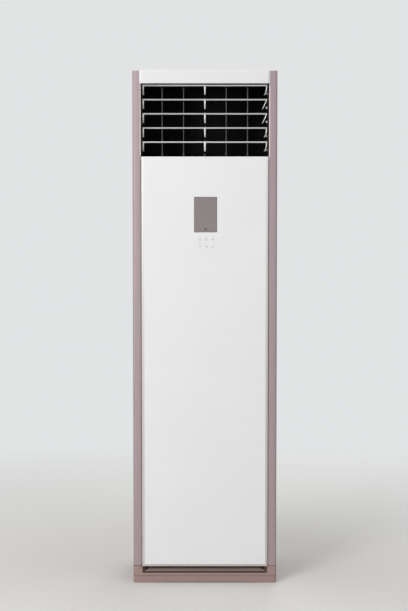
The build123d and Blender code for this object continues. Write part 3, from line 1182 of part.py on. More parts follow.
# ---------------------------------------------------------------- filters
def filter_cassette():
    """Right filter: frame with bars, fine mesh, and a strip that covers its slot."""
    x0, x1 = FILTER_X - FILTER_THICK / 2, FILTER_X + FILTER_THICK / 2
    low, high = FILTER_LOW_Z, FILTER_HIGH_Z
    border = FILTER_BORDER
    body = block(x0, x1, FILTER_FRONT_Y, FILTER_BACK_Y, low, high)
    body -= block(x0 - 1, x1 + 1, FILTER_FRONT_Y + border, FILTER_BACK_Y - border,
                  low + border, high - border)
    mesh = FILTER_MESH / 2
    body += block(FILTER_X - mesh, FILTER_X + mesh, FILTER_FRONT_Y, FILTER_BACK_Y - border, low, high)
    step_y = (FILTER_BACK_Y - FILTER_FRONT_Y - border) / (FILTER_BAR_COLUMNS + 1)
    for i in range(FILTER_BAR_COLUMNS):
        y = FILTER_FRONT_Y + border / 2 + (i + 1) * step_y
        body += block(x0, x1, y - FILTER_BAR / 2, y + FILTER_BAR / 2, low + 1, high - 1)
    step_z = (high - low - border) / (FILTER_BAR_ROWS + 1)
    for i in range(FILTER_BAR_ROWS):
        z = low + border / 2 + (i + 1) * step_z
        body += block(x0, x1, FILTER_FRONT_Y + 1, FILTER_BACK_Y - 1, z - FILTER_BAR / 2, z + FILTER_BAR / 2)
    lap = SLOT_PLAY + FILTER_STRIP
    return body + block(x0 - lap, x1 + lap, FILTER_BACK_Y, FILTER_BACK_Y + FILTER_STRIP_THICK,
                        low - lap, high + lap)


def filter_rails():
    """Channels along the lower and upper edges of both filters."""
    x0 = FILTER_X - RAIL_WIDTH / 2
    groove = FILTER_THICK / 2 + FILTER_PLAY
    rails = []
    lower = FILTER_LOW_Z - FILTER_PLAY + RAIL_GRIP - RAIL_HEIGHT
    upper = FILTER_HIGH_Z + FILTER_PLAY - RAIL_GRIP
    for low in (lower, upper):
        rail = block(x0, SIDE_INSIDE_X, COLUMN_BACK_Y + SHEET, BACK_INSIDE_Y - SHEET, low, low + RAIL_HEIGHT)
        rail -= block(FILTER_X - groove, FILTER_X + groove, COLUMN_BACK_Y + SHEET - 1, BACK_INSIDE_Y + 1,
                      FILTER_LOW_Z - FILTER_PLAY, FILTER_HIGH_Z + FILTER_PLAY)
        rails += [rail, mirrored(rail)]
    return Compound(rails)


# ---------------------------------------------------------------- electrics
def electrical_box():
    """Open sheet box in front of the duct."""
    half, tall = BOX_WIDTH / 2, BOX_HEIGHT / 2
    box = block(BOX_X - half, BOX_X + half, BOX_FRONT_Y, BOX_BACK_Y, BOX_Z - tall, BOX_Z + tall)
    inner = block(BOX_X - half + BOX_SHEET, BOX_X + half - BOX_SHEET, BOX_FRONT_Y - 1, BOX_BACK_Y - BOX_SHEET,
                  BOX_Z - tall + BOX_SHEET, BOX_Z + tall - BOX_SHEET)
    return box - inner


def electrical_cover():
    """Lid of the electrical box."""
    half, tall = BOX_WIDTH / 2, BOX_HEIGHT / 2
    return block(BOX_X - half, BOX_X + half, BOX_FRONT_Y - BOX_SHEET, BOX_FRONT_Y, BOX_Z - tall, BOX_Z + tall)


def control_board():
    """Main circuit board on standoffs, with its tall components."""
    half = BOX_WIDTH / 2 - CONTROL_MARGIN
    low = BOX_Z - BOX_HEIGHT / 2 + CONTROL_MARGIN + TERMINAL_HEIGHT + CONTROL_MARGIN
    high = BOX_Z + BOX_HEIGHT / 2 - CONTROL_MARGIN
    back = BOX_BACK_Y - BOX_SHEET
    face = back - STANDOFF - BOARD_THICK
    board = block(BOX_X - half, BOX_X + half, face, back - STANDOFF, low, high)
    for x in (BOX_X - half + 2 * STANDOFF_R, BOX_X + half - 2 * STANDOFF_R):
        for z in (low + 2 * STANDOFF_R, high - 2 * STANDOFF_R):
            board += rod_y(STANDOFF_R, x, back - STANDOFF, back, z)
    tall_z = high - SINK_SIZE
    sink_x = BOX_X - SINK_SIZE
    sink = SINK_SIZE / 2
    board += block(sink_x - sink, sink_x + sink, face - SINK_DEPTH, face, tall_z - sink, tall_z + sink)
    board += rod_y(CAPACITOR_R, BOX_X + half / 2, face - CAPACITOR_LENGTH, face, tall_z)
    relay_low = low + CONTROL_MARGIN
    for i in range(RELAY_COUNT):
        x = BOX_X - half + CONTROL_MARGIN + i * RELAY_PITCH
        board += block(x, x + RELAY_SIZE, face - RELAY_DEPTH, face, relay_low, relay_low + RELAY_SIZE)
    return board


def terminal_block():
    """Screw terminals for the supply, in the foot of the electrical box."""
    low = BOX_Z - BOX_HEIGHT / 2 + CONTROL_MARGIN
    back = BOX_BACK_Y - BOX_SHEET
    half = TERMINAL_WIDTH / 2
    body = block(BOX_X - half, BOX_X + half, back - TERMINAL_DEPTH, back, low, low + TERMINAL_HEIGHT)
    pitch = TERMINAL_WIDTH / TERMINAL_WAYS
    for i in range(TERMINAL_WAYS):
        x = BOX_X - half + (i + 0.5) * pitch
        body -= rod_y(TERMINAL_SCREW_R, x, back - TERMINAL_DEPTH - 1, back - TERMINAL_DEPTH / 2,
                      low + TERMINAL_HEIGHT / 2)
    return body


def cord_gland():
    """Gland for the supply cord in the rear sheet."""
    body = rod_y(GLAND_FLANGE_R, GLAND_X, BACK_SHEET_Y, BACK_SHEET_Y + GLAND_FLANGE, GLAND_Z)
    body += rod_y(GLAND_R, GLAND_X, BACK_SHEET_Y - GLAND_BARREL, BACK_SHEET_Y, GLAND_Z)
    return body - rod_y(GLAND_BORE_R, GLAND_X, BACK_SHEET_Y - GLAND_BARREL - 1, BACK_Y + 1, GLAND_Z)


# ---------------------------------------------------------------- fastening
def fixing_range(middle, margin, half=FIXING_SPACING / 2 + FIXING_MARGIN):
    """The stretch that the wall-fixing plate covers, widened by a margin."""
    return middle - half - margin, middle + half + margin


def fixing_plate():
    """Plate behind the rear sheet with the two holes that hold the anti-tip bracket."""
    plate = block(*fixing_range(0, 0), BACK_INSIDE_Y - FIXING_THICK, BACK_INSIDE_Y,
                  *fixing_range(FIXING_Z, 0, FIXING_MARGIN))
    for x in (-FIXING_SPACING / 2, FIXING_SPACING / 2):
        plate -= rod_y(FIXING_R, x, BACK_INSIDE_Y - FIXING_THICK - 1, BACK_INSIDE_Y + 1, FIXING_Z)
    return plate


def cabinet_screws():
    """Pan-head screws that hold the rear sheet to the side sheets."""
    screws = []
    for x, z in screw_places():
        head = rod_y(SCREW_HEAD_R, x, BACK_SHEET_Y, BACK_SHEET_Y + SCREW_HEAD, z)
        outer = head.edges().filter_by(GeomType.CIRCLE).group_by(Axis.Y)[-1]
        head = fillet(outer, SCREW_HEAD / 2)
        screws.append(head + rod_y(SCREW_R, x, BACK_SHEET_Y - SCREW_LENGTH, BACK_SHEET_Y, z))
    return Compound(screws)


# ---------------------------------------------------------------- write the sub-parts
def main():
    os.makedirs("parts", exist_ok=True)
    side = side_panel()
    cassette = filter_cassette()
    nodes = {
        "base_plinth": base_plinth(),
        "foot_pads": foot_pads(),
        "base_pan": base_pan(),
        "left_column": mirrored(column()),
        "right_column": right_column(),
        "left_side_panel": mirrored(side),
        "right_side_panel": side,
        "back_panel": back_panel(),
        "top_cover": top_cover(),
        "front_panel": front_panel(),
        "panel_insulation": panel_insulation(),
        "display_window": display_window(),
        "display_housing": display_housing(),
        "display_board": display_board(),
        "outlet_frame": outlet_frame(),
        "bearing_strips": bearing_strips(),
        "louver_link": louver_link(),
        "vane_rails": vane_rails(),
        "vane_link": vane_link(),
        "stepper_motors": stepper_motors(),
        "fan_wheel": fan_wheel(),
        "fan_shaft": fan_shaft(),
        "fan_scroll": fan_scroll(),
        "inlet_rings": inlet_rings(),
        "fan_motor": fan_motor(),
        "motor_bracket": motor_bracket(),
        "fan_deck": fan_deck(),
        "air_duct": air_duct(),
        "drip_tray": drip_tray(),
        "drain_pipe": drain_pipe(),
        "evaporator_fins": evaporator_fins(),
        "evaporator_tubes": evaporator_tubes(),
        "evaporator_end_plates": evaporator_end_plates(),
        "refrigerant_pipes": refrigerant_pipes(),
        "left_filter": mirrored(cassette),
        "right_filter": cassette,
        "filter_rails": filter_rails(),
        "electrical_box": electrical_box(),
        "electrical_cover": electrical_cover(),
        "control_board": control_board(),
        "terminal_block": terminal_block(),
        "cord_gland": cord_gland(),
        "fixing_plate": fixing_plate(),
        "cabinet_screws": cabinet_screws(),
    }
    for number in range(1, LOUVER_COUNT + 1):
        nodes[f"louver_{number}"] = louver(number)
    for number in range(1, VANE_COUNT + 1):
        nodes[f"vane_{number}"] = vane(number)
    for name, x, z in key_places():
        nodes[f"key_{name}"] = key(x, z)
    for name, shape in nodes.items():
        save(name, shape)


main()
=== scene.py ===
from contextlib import contextmanager
import json
import math

import bmesh
import bpy
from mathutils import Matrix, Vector


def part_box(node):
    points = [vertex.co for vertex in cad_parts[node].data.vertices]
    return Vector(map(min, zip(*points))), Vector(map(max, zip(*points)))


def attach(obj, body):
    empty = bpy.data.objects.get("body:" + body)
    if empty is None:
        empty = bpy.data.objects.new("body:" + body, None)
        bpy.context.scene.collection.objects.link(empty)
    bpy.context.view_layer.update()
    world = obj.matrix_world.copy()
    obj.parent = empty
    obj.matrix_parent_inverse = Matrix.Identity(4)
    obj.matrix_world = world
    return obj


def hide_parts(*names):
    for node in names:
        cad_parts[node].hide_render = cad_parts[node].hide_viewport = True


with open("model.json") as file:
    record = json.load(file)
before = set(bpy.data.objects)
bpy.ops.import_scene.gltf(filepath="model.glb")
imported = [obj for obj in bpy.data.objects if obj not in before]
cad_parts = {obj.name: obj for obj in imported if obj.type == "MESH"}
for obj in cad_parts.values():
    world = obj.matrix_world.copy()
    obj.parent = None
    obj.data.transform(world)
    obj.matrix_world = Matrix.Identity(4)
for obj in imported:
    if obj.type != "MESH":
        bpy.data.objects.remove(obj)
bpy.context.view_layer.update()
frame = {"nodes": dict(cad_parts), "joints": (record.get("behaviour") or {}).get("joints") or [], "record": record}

# Floor standing air conditioner, in metres: +Z is up and the front faces -Y.
MM = 0.001
NODES = frame["nodes"]
BODIES = frame["record"]["behaviour"]["bodies"]
BODY_OF = {node: body for body, members in BODIES.items() for node in members}
SLOT_OF = {row["node"]: row["material_slot"] for row in frame["record"]["subparts"]}
KEYS = [node for node in NODES if node.startswith("key_")]
JOINT_AT = {joint["name"]: Vector(joint["pos_m"]) for joint in frame["joints"] if "pos_m" in joint}

# ---------------------------------------------------------------- sizes
NEAR = 0.05 * MM            # faces this close to a place count as lying there
WELD = 0.01 * MM            # points this close to one another are joined
SOFT_EDGE = 1.0 * MM        # radius of the corners of keys, window and their holes
# Cosines of a direction with an axis: along it, towards it, and straight enough to take the louvers' dark second
# finish of painted shade
ALONG = 0.9
TOWARDS = 0.5
STRAIGHT = 0.8
# Angles between faces: flat enough to be one face, sharp enough to be rounded, and shaded smooth up to
FLAT = math.radians(0.5)
SHARP = math.radians(30.0)
SMOOTH = math.radians(50.0)
# Front panel
BEVEL_WIDE = 9.0 * MM
BEVEL_DEEP = 5.0 * MM
PANEL_PIN = 6.5 * MM        # pivot pins stand out of the panel's sides
PIN_R = 3.0 * MM
PIN_HOLE_R = 3.3 * MM       # with play for the panel's swing
PANEL_WALL = 2.5 * MM
WINDOW_FLANGE = 2.0 * MM
WINDOW_PLAY = 0.2 * MM
KEY_FLANGE = 1.5 * MM
KEY_PLAY = 0.25 * MM
KEY_STEM_R = 2.0 * MM
# Columns
CORNER_R = 8.0 * MM
TOP_EDGE_R = 4.0 * MM
COLUMN_EDGE = 1.5 * MM
COLUMN_CROWN = 1.8 * MM     # the front face falls back by this towards the corner
CROWN_STEPS = 4
PANEL_GAP = 3.8 * MM        # between the panel and a column
COLUMN_LIP = 1.8 * MM       # a thin lip beside the panel
LIP_BACK = 0.8 * MM         # behind the column's front face
LIP_THICK = 1.8 * MM
COLUMN_WALL = 3.0 * MM
COLUMN_RETURN = 50.0 * MM
SHAFT_HOLE_R = 3.2 * MM
# Louvers, measured from their pivots
LOUVER_PITCH = 48.5 * MM
LOUVER_REACH = 22.0 * MM
LOUVER_TAIL = 25.3 * MM
LOUVER_RISE = 28.5 * MM
LOUVER_SKIN = 2.5 * MM
LOUVER_LIP = 5.3 * MM
LOUVER_LIP_THICK = 6.5 * MM
LIP_SLANT = 5.0 * MM        # the lip's front face leans back by this towards its foot
LOUVER_CROWN = 1.2 * MM     # the blade's edges lie this much below its middle
LOUVER_STEPS = 6            # strips in which the blade's crown is made
LOUVER_STUB = 5.7 * MM
STUB_R = 4.0 * MM
AXLE_R = 2.0 * MM
AXLE_INWARDS = 0.7          # share of a cheek's bend that the axle reaches inwards
BOSS_R = 3.2 * MM
BOSS_LENGTH = 3.5 * MM
RIB_WIDTH = 5.8 * MM
RIB_TIP = 3.0 * MM
RIB_TAIL = 5.0 * MM
WEB_STEPS = 5               # strips in which a web's outline is made
WEB_CURVE = 2.5             # power by which its front edge comes back to its foot
CHEEK_THICK = 3.0 * MM
LEFT_HOOK = 1.0 * MM        # a cheek's foot bends inwards by this
RIGHT_HOOK = 7.0 * MM
LEVER_HOOK = 14.0 * MM
LEVER_CURL = 1.2            # power by which a lever bends towards its foot
CHEEK_CURL = 3.0
LEVER_LOUVERS = (2, 3)
CRANK_THICK = 3.0 * MM
CRANK_BOSS_R = 5.0 * MM
CRANK_PIN_R = 2.2 * MM
CRANK_PIN_END = 8.5 * MM
# Vanes
VANE_THICK = 2.0 * MM
VANE_CORNER_R = 5.0 * MM
VANE_STUB = 4.7 * MM
VANE_LIFT = 7.0 * MM        # a vane's plate stays this far inside its bosses
VANE_BOSS_R = 5.0 * MM
VANE_BOSS = 16.0 * MM
VANE_PIN_BOSS_R = 4.0 * MM
VANE_PIN_RISE = 4.0 * MM
# Rear sheet: two pressed beads and its screws
BEAD_X = 105.0 * MM
BEAD_HALF = 12.0 * MM
BEAD_SLOPE = 7.0 * MM
BEAD_PROUD = 2.4 * MM
BEAD_END = 150.0 * MM       # from the sheet's lower and upper edges
SHEET_THICK = 2.0 * MM      # at most, to tell its rear from its folds
SCREW_HEAD_R = 3.8 * MM
SCREW_HEAD = 2.0 * MM
SCREW_DOME = 0.9 * MM       # the head's rim is rounded by this
SCREW_R = 1.9 * MM
SCREW_LENGTH = 11.0 * MM
SCREW_RISES = (0.0, 552.0, 812.0, 1072.0, 1332.0, 1592.0)   # above the lowest screw, in millimetres
RECESS_LONG = 2.2 * MM
RECESS_SHORT = 0.5 * MM
# Marks on the keys
ICON = 8.0 * MM
STROKE = 0.9 * MM
PRINT = 0.03 * MM           # half of the print's depth
MARK_ARM = ICON / 3.2       # from a key's middle to a blade or a tip
FAN_LOBE = ICON / 5
ARROW_TIP = 0.04            # a tip's width as a share of its base
# Finishes
BAND_HEIGHT = 45.0 * MM
LIP_LOW = 20.5 * MM         # the louvers' lips begin this high above their pivots
SEAM = 0.8 * MM             # half of the shadow line between the plinth and the columns
GROOVE_Z = 24.5 * MM
GROOVE = 0.8 * MM           # half of its width
GROOVE_SHADE = 0.5
RECESS_LOW = 33.0 * MM      # finger recess over the plinth's front
RECESS_DEEP = 27.0 * MM
RECESS_SLANT = 22.0 * MM    # its ends close in by this
# Shares of the recess's depth: where its painted light and shade begin, where its floor turns pale with painted
# light, then dark with painted shade, and the end
RECESS_START = 0.03
FLOOR_PALE = 0.34
FLOOR_DARK = 0.97
RECESS_STOP = 1.2
WINDOW_BORDER = 2.0 * MM
RECEIVER_UP = 13.0 * MM     # the receiver's dark spot above the window's lower edge
RECEIVER_R = 8.0 * MM
RECEIVER_SQUASH = 2.0       # the spot is wider than high
# width of the painted highlight along the vanes' front edges
VANE_EDGE = 1.3 * MM
FIN_PITCH = 2.4 * MM
FIN_SHARE = 0.62            # of the pitch is fin and not gap
NET_PITCH = 3.0 * MM
NET_THREAD = 0.3            # of the pitch is thread
NET_HALF = 0.4 * MM         # half of the net's thickness
TRACK_PITCH = 6.0 * MM
TRACK_RUN = 43.0 * MM       # a track breaks off once in this length
TRACK_WANDER = 12.0 * MM
TRACK_GAP = 0.78            # of the pitch lies between tracks
TRACK_BREAK = 0.25          # of the run is bare
BEAD_CELLS = 260.0          # foam beads in a metre
# Room
FLOOR = 24.0
FLOOR_THICK = 0.02
FADE_NEAR = 0.6             # the floor fades into the backdrop between these distances
FADE_FAR = 2.8
AMBIENT = 0.36              # how much light the backdrop gives, where 1 would be all that it shows
# Widths of the rounded edges of what is modelled anew
COLUMN_ROUND = 0.4 * MM
PANEL_ROUND = 0.9 * MM
WINDOW_ROUND = 0.35 * MM
KEY_ROUND = 0.3 * MM
LOUVER_ROUND = 0.5 * MM
VANE_ROUND = 0.35 * MM
REAR_ROUND = 0.3 * MM
SCREW_ROUND = 0.1 * MM
# Construction nodes that are refined as they are, with the width of their rounded edges
REFINED = {
    "base_plinth": 0.6 * MM,
    "top_cover": 0.6 * MM,
    "outlet_frame": 0.5 * MM,
    "left_side_panel": 0.3 * MM,
    "right_side_panel": 0.3 * MM,
    "cord_gland": 0.4 * MM,
}

# ---------------------------------------------------------------- camera
# The cabinet is seen from the front, from a little above its middle.
VIEW_DISTANCE = 4.0
VIEW_PITCH = math.radians(2.6)
AIM_X = -0.003
AIM_Z = 0.972
LENS = 68.15
SENSOR = 36.0
FARTHEST = 60.0


def set_camera():
    """A camera at the photograph's viewing angle."""
    aim = Vector((AIM_X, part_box("front_panel")[0].y, AIM_Z))
    back = Vector((0.0, -math.cos(VIEW_PITCH), math.sin(VIEW_PITCH)))
    data = bpy.data.cameras.new("photo_camera")
    data.lens = LENS
    data.sensor_width = SENSOR
    data.clip_end = FARTHEST
    camera = bpy.data.objects.new("photo_camera", data)
    camera.location = aim + back * VIEW_DISTANCE
    camera.rotation_euler = (-back).to_track_quat("-Z", "Y").to_euler()
    bpy.context.scene.collection.objects.link(camera)
    bpy.context.scene.camera = camera


# ---------------------------------------------------------------- modelling by hand
def only(piece):
    """Make a piece the one that is selected and active."""
    bpy.ops.object.select_all(action="DESELECT")
    piece.select_set(True)
    bpy.context.view_layer.objects.active = piece


@contextmanager
def editing(piece):
    """Edit mode on one piece, with nothing selected at first."""
    only(piece)
    bpy.ops.object.mode_set(mode="EDIT")
    bpy.ops.mesh.select_all(action="DESELECT")
    yield
    bpy.ops.object.mode_set(mode="OBJECT")


def pick(kind, test):
    """Select the points, edges or faces that pass a test of their middle and their direction."""
    bpy.ops.mesh.select_mode(type=kind)
    bpy.ops.mesh.select_all(action="DESELECT")
    mesh = bmesh.from_edit_mesh(bpy.context.edit_object.data)
    if kind == "FACE":
        for face in mesh.faces:
            face.select_set(bool(test(face.calc_center_median(), face.normal)))
    elif kind == "EDGE":
        for edge in mesh.edges:
            first, second = edge.verts[0].co, edge.verts[1].co
            edge.select_set(bool(test((first + second) / 2, (second - first).normalized())))
    else:
        for point in mesh.verts:
            point.select_set(bool(test(point.co, point.normal)))
    mesh.select_flush_mode()
    bmesh.update_edit_mesh(bpy.context.edit_object.data)


def weld():
    """Join the points of the mesh in edit mode that lie on one another."""
    bpy.ops.mesh.select_all(action="SELECT")
    bpy.ops.mesh.remove_doubles(threshold=WELD)


def score(place, across):
    """Divide the faces of the mesh in edit mode along a plane."""
    bpy.ops.mesh.select_all(action="SELECT")
    bpy.ops.mesh.bisect(plane_co=place, plane_no=across)


def move(x=0.0, y=0.0, z=0.0):
    """Move the picked parts of the mesh in edit mode."""
    bpy.ops.transform.translate(value=(x, y, z))


def soften(piece, test, radius, segments):
    """Round the edges that pass a test of their middle and their direction."""
    with editing(piece):
        pick("EDGE", test)
        bpy.ops.mesh.bevel(offset=radius, segments=segments, affect="EDGES")


def named(name):
    """Name the active object and settle its place into its mesh."""
    piece = bpy.context.active_object
    piece.name = piece.data.name = name
    bpy.ops.object.transform_apply(location=True, rotation=True, scale=True)
    return piece


def block(name, low, high):
    """A box between two corners."""
    low, high = Vector(low), Vector(high)
    bpy.ops.object.select_all(action="DESELECT")
    bpy.ops.mesh.primitive_cube_add(size=1.0, location=(low + high) / 2)
    bpy.context.active_object.scale = high - low
    return named(name)


def rod(name, radius, start, end, sides=32):
    """A round bar between two points."""
    start, end = Vector(start), Vector(end)
    bpy.ops.object.select_all(action="DESELECT")
    turn = (end - start).to_track_quat("Z", "Y").to_euler()
    bpy.ops.mesh.primitive_cylinder_add(vertices=sides, radius=radius, depth=(end - start).length,
                                        location=(start + end) / 2, rotation=turn)
    return named(name)


def combine(piece, other, operation):
    """Cut or fuse a piece with another, which is used up."""
    only(piece)
    bpy.ops.object.modifier_add(type="BOOLEAN")
    change = piece.modifiers[-1]
    change.operation = operation
    change.object = other
    change.solver = "EXACT"
    bpy.ops.object.modifier_apply(modifier=change.name)
    bpy.data.objects.remove(other)
    return piece


def carve(piece, *cutters):
    """Cut other pieces out of a piece."""
    for cutter in cutters:
        combine(piece, cutter, "DIFFERENCE")
    return piece


def fuse(piece, *others):
    """Join other pieces to a piece."""
    for other in others:
        combine(piece, other, "UNION")
    return piece


def rounded(piece, width, segments=2):
    """Round a piece's sharp edges and keep its flat faces flat."""
    with editing(piece):
        weld()
        bpy.ops.mesh.dissolve_limited(angle_limit=FLAT)
    bpy.ops.object.modifier_add(type="BEVEL")
    bevel = piece.modifiers[-1]
    bevel.width = width
    bevel.segments = segments
    bevel.limit_method = "ANGLE"
    bevel.angle_limit = SHARP
    bpy.ops.object.modifier_apply(modifier=bevel.name)
    bpy.ops.object.shade_smooth_by_angle(angle=SMOOTH)
    bpy.ops.object.modifier_add(type="WEIGHTED_NORMAL")
    weighted = piece.modifiers[-1]
    weighted.keep_sharp = True
    bpy.ops.object.modifier_apply(modifier=weighted.name)
    return piece


def copied(piece, name, shift):
    """A copy with its own mesh, moved to its place."""
    only(piece)
    bpy.ops.object.duplicate()
    bpy.context.active_object.location += Vector(shift)
    return named(name)


def install(piece, finish, node=None, body=None, shade_and_arm_finish=None):
    """Give a piece its finish and its body, and let it stand for its construction node."""
    if shade_and_arm_finish:
        piece.data.materials[0], piece.data.materials[1] = finish, shade_and_arm_finish
    else:
        piece.data.materials.clear()
        piece.data.materials.append(finish)
    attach(piece, body or BODY_OF[node])
    if node:
        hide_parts(node)


def with_second_finish(piece, test):
    """Keep a second finish for the faces that pass a test, such as painted shade under a blade or a clipped-on
    arm.
    """
    only(piece)
    for _ in range(2):
        bpy.ops.object.material_slot_add()
    piece.active_material_index = 1
    with editing(piece):
        pick("FACE", test)
        bpy.ops.object.material_slot_assign()
    return piece


def merged(node, name):
    """A copy of a construction solid with its triangles joined up."""
    piece = bpy.data.objects.new(name, NODES[node].data.copy())
    piece.data.name = name
    bpy.context.scene.collection.objects.link(piece)
    with editing(piece):
        weld()
    return piece


# ---------------------------------------------------------------- cabinet shell
def span(side, first, second):
    """Two x places on one side of the cabinet, in rising order."""
    return sorted((side * first, side * second))


def column(side):
    """A corner column: crowned front with a lip beside the panel, round outer corner and top edge.

    It is hollow behind and has the holes for the panel's pivot and, on the right, for the louvers' shaft.
    """
    node = "right_column" if side > 0 else "left_column"
    low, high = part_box(node)
    inner, outer = sorted((abs(low.x), abs(high.x)))
    post = block(node + "_post", low, high)
    with editing(post):
        for step in range(1, CROWN_STEPS + 1):
            share = step / CROWN_STEPS
            x = side * (inner + (outer - inner) * share)
            if share < 1.0:
                score((x, 0.0, 0.0), (1.0, 0.0, 0.0))
            pick("VERT", lambda place, normal: place.y < low.y + NEAR and abs(place.x - x) < NEAR)
            move(y=COLUMN_CROWN * share ** 2)
    soften(post, lambda place, along: abs(along.z) > ALONG and place.y < low.y + 2 * COLUMN_CROWN
           and place.x * side > outer - NEAR, CORNER_R, 8)
    soften(post, lambda place, along: place.z > high.z - NEAR and place.y < high.y - NEAR
           and place.x * side > inner + NEAR
           and (abs(along.y) < ALONG or place.x * side > outer - NEAR), TOP_EDGE_R, 5)
    soften(post, lambda place, along: abs(along.z) > ALONG and place.y < low.y + NEAR
           and place.x * side < inner + NEAR, COLUMN_EDGE, 3)
    x0, x1 = span(side, inner + COLUMN_WALL, outer - COLUMN_WALL)
    hollow = block("hollow", (x0, low.y + COLUMN_WALL, low.z - MM), (x1, high.y + MM, high.z - COLUMN_WALL))
    x0, x1 = span(side, inner - MM, inner + COLUMN_WALL + MM)
    mouth = block("mouth", (x0, low.y + COLUMN_RETURN, low.z - MM), (x1, high.y + MM, high.z - COLUMN_WALL))
    hinge = JOINT_AT["panel_swing"]
    pivot = rod("pivot", PIN_HOLE_R, (x0, hinge.y, hinge.z), (x1, hinge.y, hinge.z))
    carve(post, hollow, mouth, pivot)
    x0, x1 = span(side, inner - COLUMN_LIP, inner + 2 * COLUMN_EDGE)
    fuse(post, block("lip", (x0, low.y + LIP_BACK, low.z),
                     (x1, low.y + LIP_BACK + LIP_THICK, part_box("top_cover")[0].z - MM)))
    if side > 0:
        shaft = JOINT_AT["louver_1_tilt"]
        carve(post, rod("shaft", SHAFT_HOLE_R, (x0, shaft.y, shaft.z), (x1, shaft.y, shaft.z)))
    return rounded(post, COLUMN_ROUND), node


def front_panel():
    """The large front panel: beveled border, hollow back, window and key holes, two pivot pins."""
    low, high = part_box("front_panel")
    half = high.x - PANEL_PIN
    border_y = low.y + BEVEL_DEEP
    panel = block("front_panel_shell", (-half, border_y, low.z), (half, high.y, high.z))
    with editing(panel):
        pick("FACE", lambda place, normal: normal.y < -TOWARDS)
        bpy.ops.mesh.inset(thickness=BEVEL_WIDE)
        move(y=-BEVEL_DEEP)
        pick("FACE", lambda place, normal: normal.y > TOWARDS)
        bpy.ops.mesh.inset(thickness=PANEL_WALL)
        reach = border_y + PANEL_WALL - high.y
        bpy.ops.mesh.extrude_region_move(TRANSFORM_OT_translate={"value": (0.0, reach, 0.0)})
        bpy.ops.mesh.inset(thickness=BEVEL_WIDE)
        move(y=-BEVEL_DEEP)
    hinge = JOINT_AT["panel_swing"]
    for side in (-1, 1):
        x0, x1 = span(side, half - PANEL_WALL / 2, half + PANEL_PIN)
        fuse(panel, rod("pin", PIN_R, (x0, hinge.y, hinge.z), (x1, hinge.y, hinge.z)))
    openings = [("display_window", WINDOW_FLANGE - WINDOW_PLAY)]
    openings += [(node, KEY_FLANGE - KEY_PLAY) for node in KEYS]
    for node, flange in openings:
        near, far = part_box(node)
        hole = block("hole", (near.x + flange, low.y - MM, near.z + flange),
                     (far.x - flange, border_y + MM, far.z - flange))
        soften(hole, lambda place, along: abs(along.y) > ALONG, SOFT_EDGE, 3)
        carve(panel, hole)
    return rounded(panel, PANEL_ROUND, 3), "front_panel"


def display_window():
    """The smoked window with its flange behind the panel."""
    low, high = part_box("display_window")
    panel_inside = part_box("front_panel")[0].y + PANEL_WALL
    lens = block("display_lens", (low.x + WINDOW_FLANGE, low.y, low.z + WINDOW_FLANGE),
                 (high.x - WINDOW_FLANGE, high.y, high.z - WINDOW_FLANGE))
    soften(lens, lambda place, along: abs(along.y) > ALONG, SOFT_EDGE, 3)
    flange = block("flange", (low.x, panel_inside, low.z), high)
    return rounded(fuse(lens, flange), WINDOW_ROUND), "display_window"


def key_cap(node):
    """A push key: a cap with soft edges, its flange and its stem."""
    low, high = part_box(node)
    panel_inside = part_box("front_panel")[0].y + PANEL_WALL
    middle_x, middle_z = (low.x + high.x) / 2, (low.z + high.z) / 2
    cap = block(node + "_cap", (low.x + KEY_FLANGE, low.y, low.z + KEY_FLANGE),
                (high.x - KEY_FLANGE, panel_inside + KEY_FLANGE / 2, high.z - KEY_FLANGE))
    soften(cap, lambda place, along: abs(along.y) > ALONG, SOFT_EDGE, 3)
    flange = block("flange", (low.x, panel_inside, low.z), (high.x, panel_inside + KEY_FLANGE, high.z))
    stem = rod("stem", KEY_STEM_R, (middle_x, panel_inside, middle_z), (middle_x, high.y, middle_z), 24)
    return rounded(fuse(cap, flange, stem), KEY_ROUND), node


# ---------------------------------------------------------------- louvers and vanes
def blade(half):
    """The louver's blade about its pivot: a crowned plate with a slanted lip along its front edge."""
    plate = block("louver", (-half, -LOUVER_REACH, LOUVER_RISE - LOUVER_SKIN),
                  (half, LOUVER_TAIL, LOUVER_RISE))
    lip_y = -LOUVER_REACH + LOUVER_LIP_THICK
    lines = [lip_y + (LOUVER_TAIL - lip_y) * step / LOUVER_STEPS for step in range(LOUVER_STEPS + 1)]
    with editing(plate):
        for y in lines[:-1]:
            score((0.0, y, 0.0), (0.0, 1.0, 0.0))
        pick("FACE", lambda place, normal: normal.z < -TOWARDS and place.y < lip_y)
        drop = LOUVER_LIP - LOUVER_SKIN - LOUVER_CROWN
        bpy.ops.mesh.extrude_region_move(TRANSFORM_OT_translate={"value": (0.0, 0.0, -drop)})
        middle = (LOUVER_TAIL - LOUVER_REACH) / 2
        for y in [-LOUVER_REACH] + lines:
            fall = LOUVER_CROWN * ((y - middle) / (LOUVER_TAIL - middle)) ** 2
            pick("VERT", lambda place, normal: abs(place.y - y) < NEAR)
            move(z=-fall)
        for down, share in ((LOUVER_SKIN + LOUVER_CROWN, LOUVER_SKIN / (LOUVER_LIP - LOUVER_CROWN)),
                            (LOUVER_LIP, 1.0)):
            pick("VERT", lambda place, normal: place.y < NEAR - LOUVER_REACH
                 and abs(place.z - (LOUVER_RISE - down)) < 4 * NEAR)
            move(y=LIP_SLANT * share)
    return plate


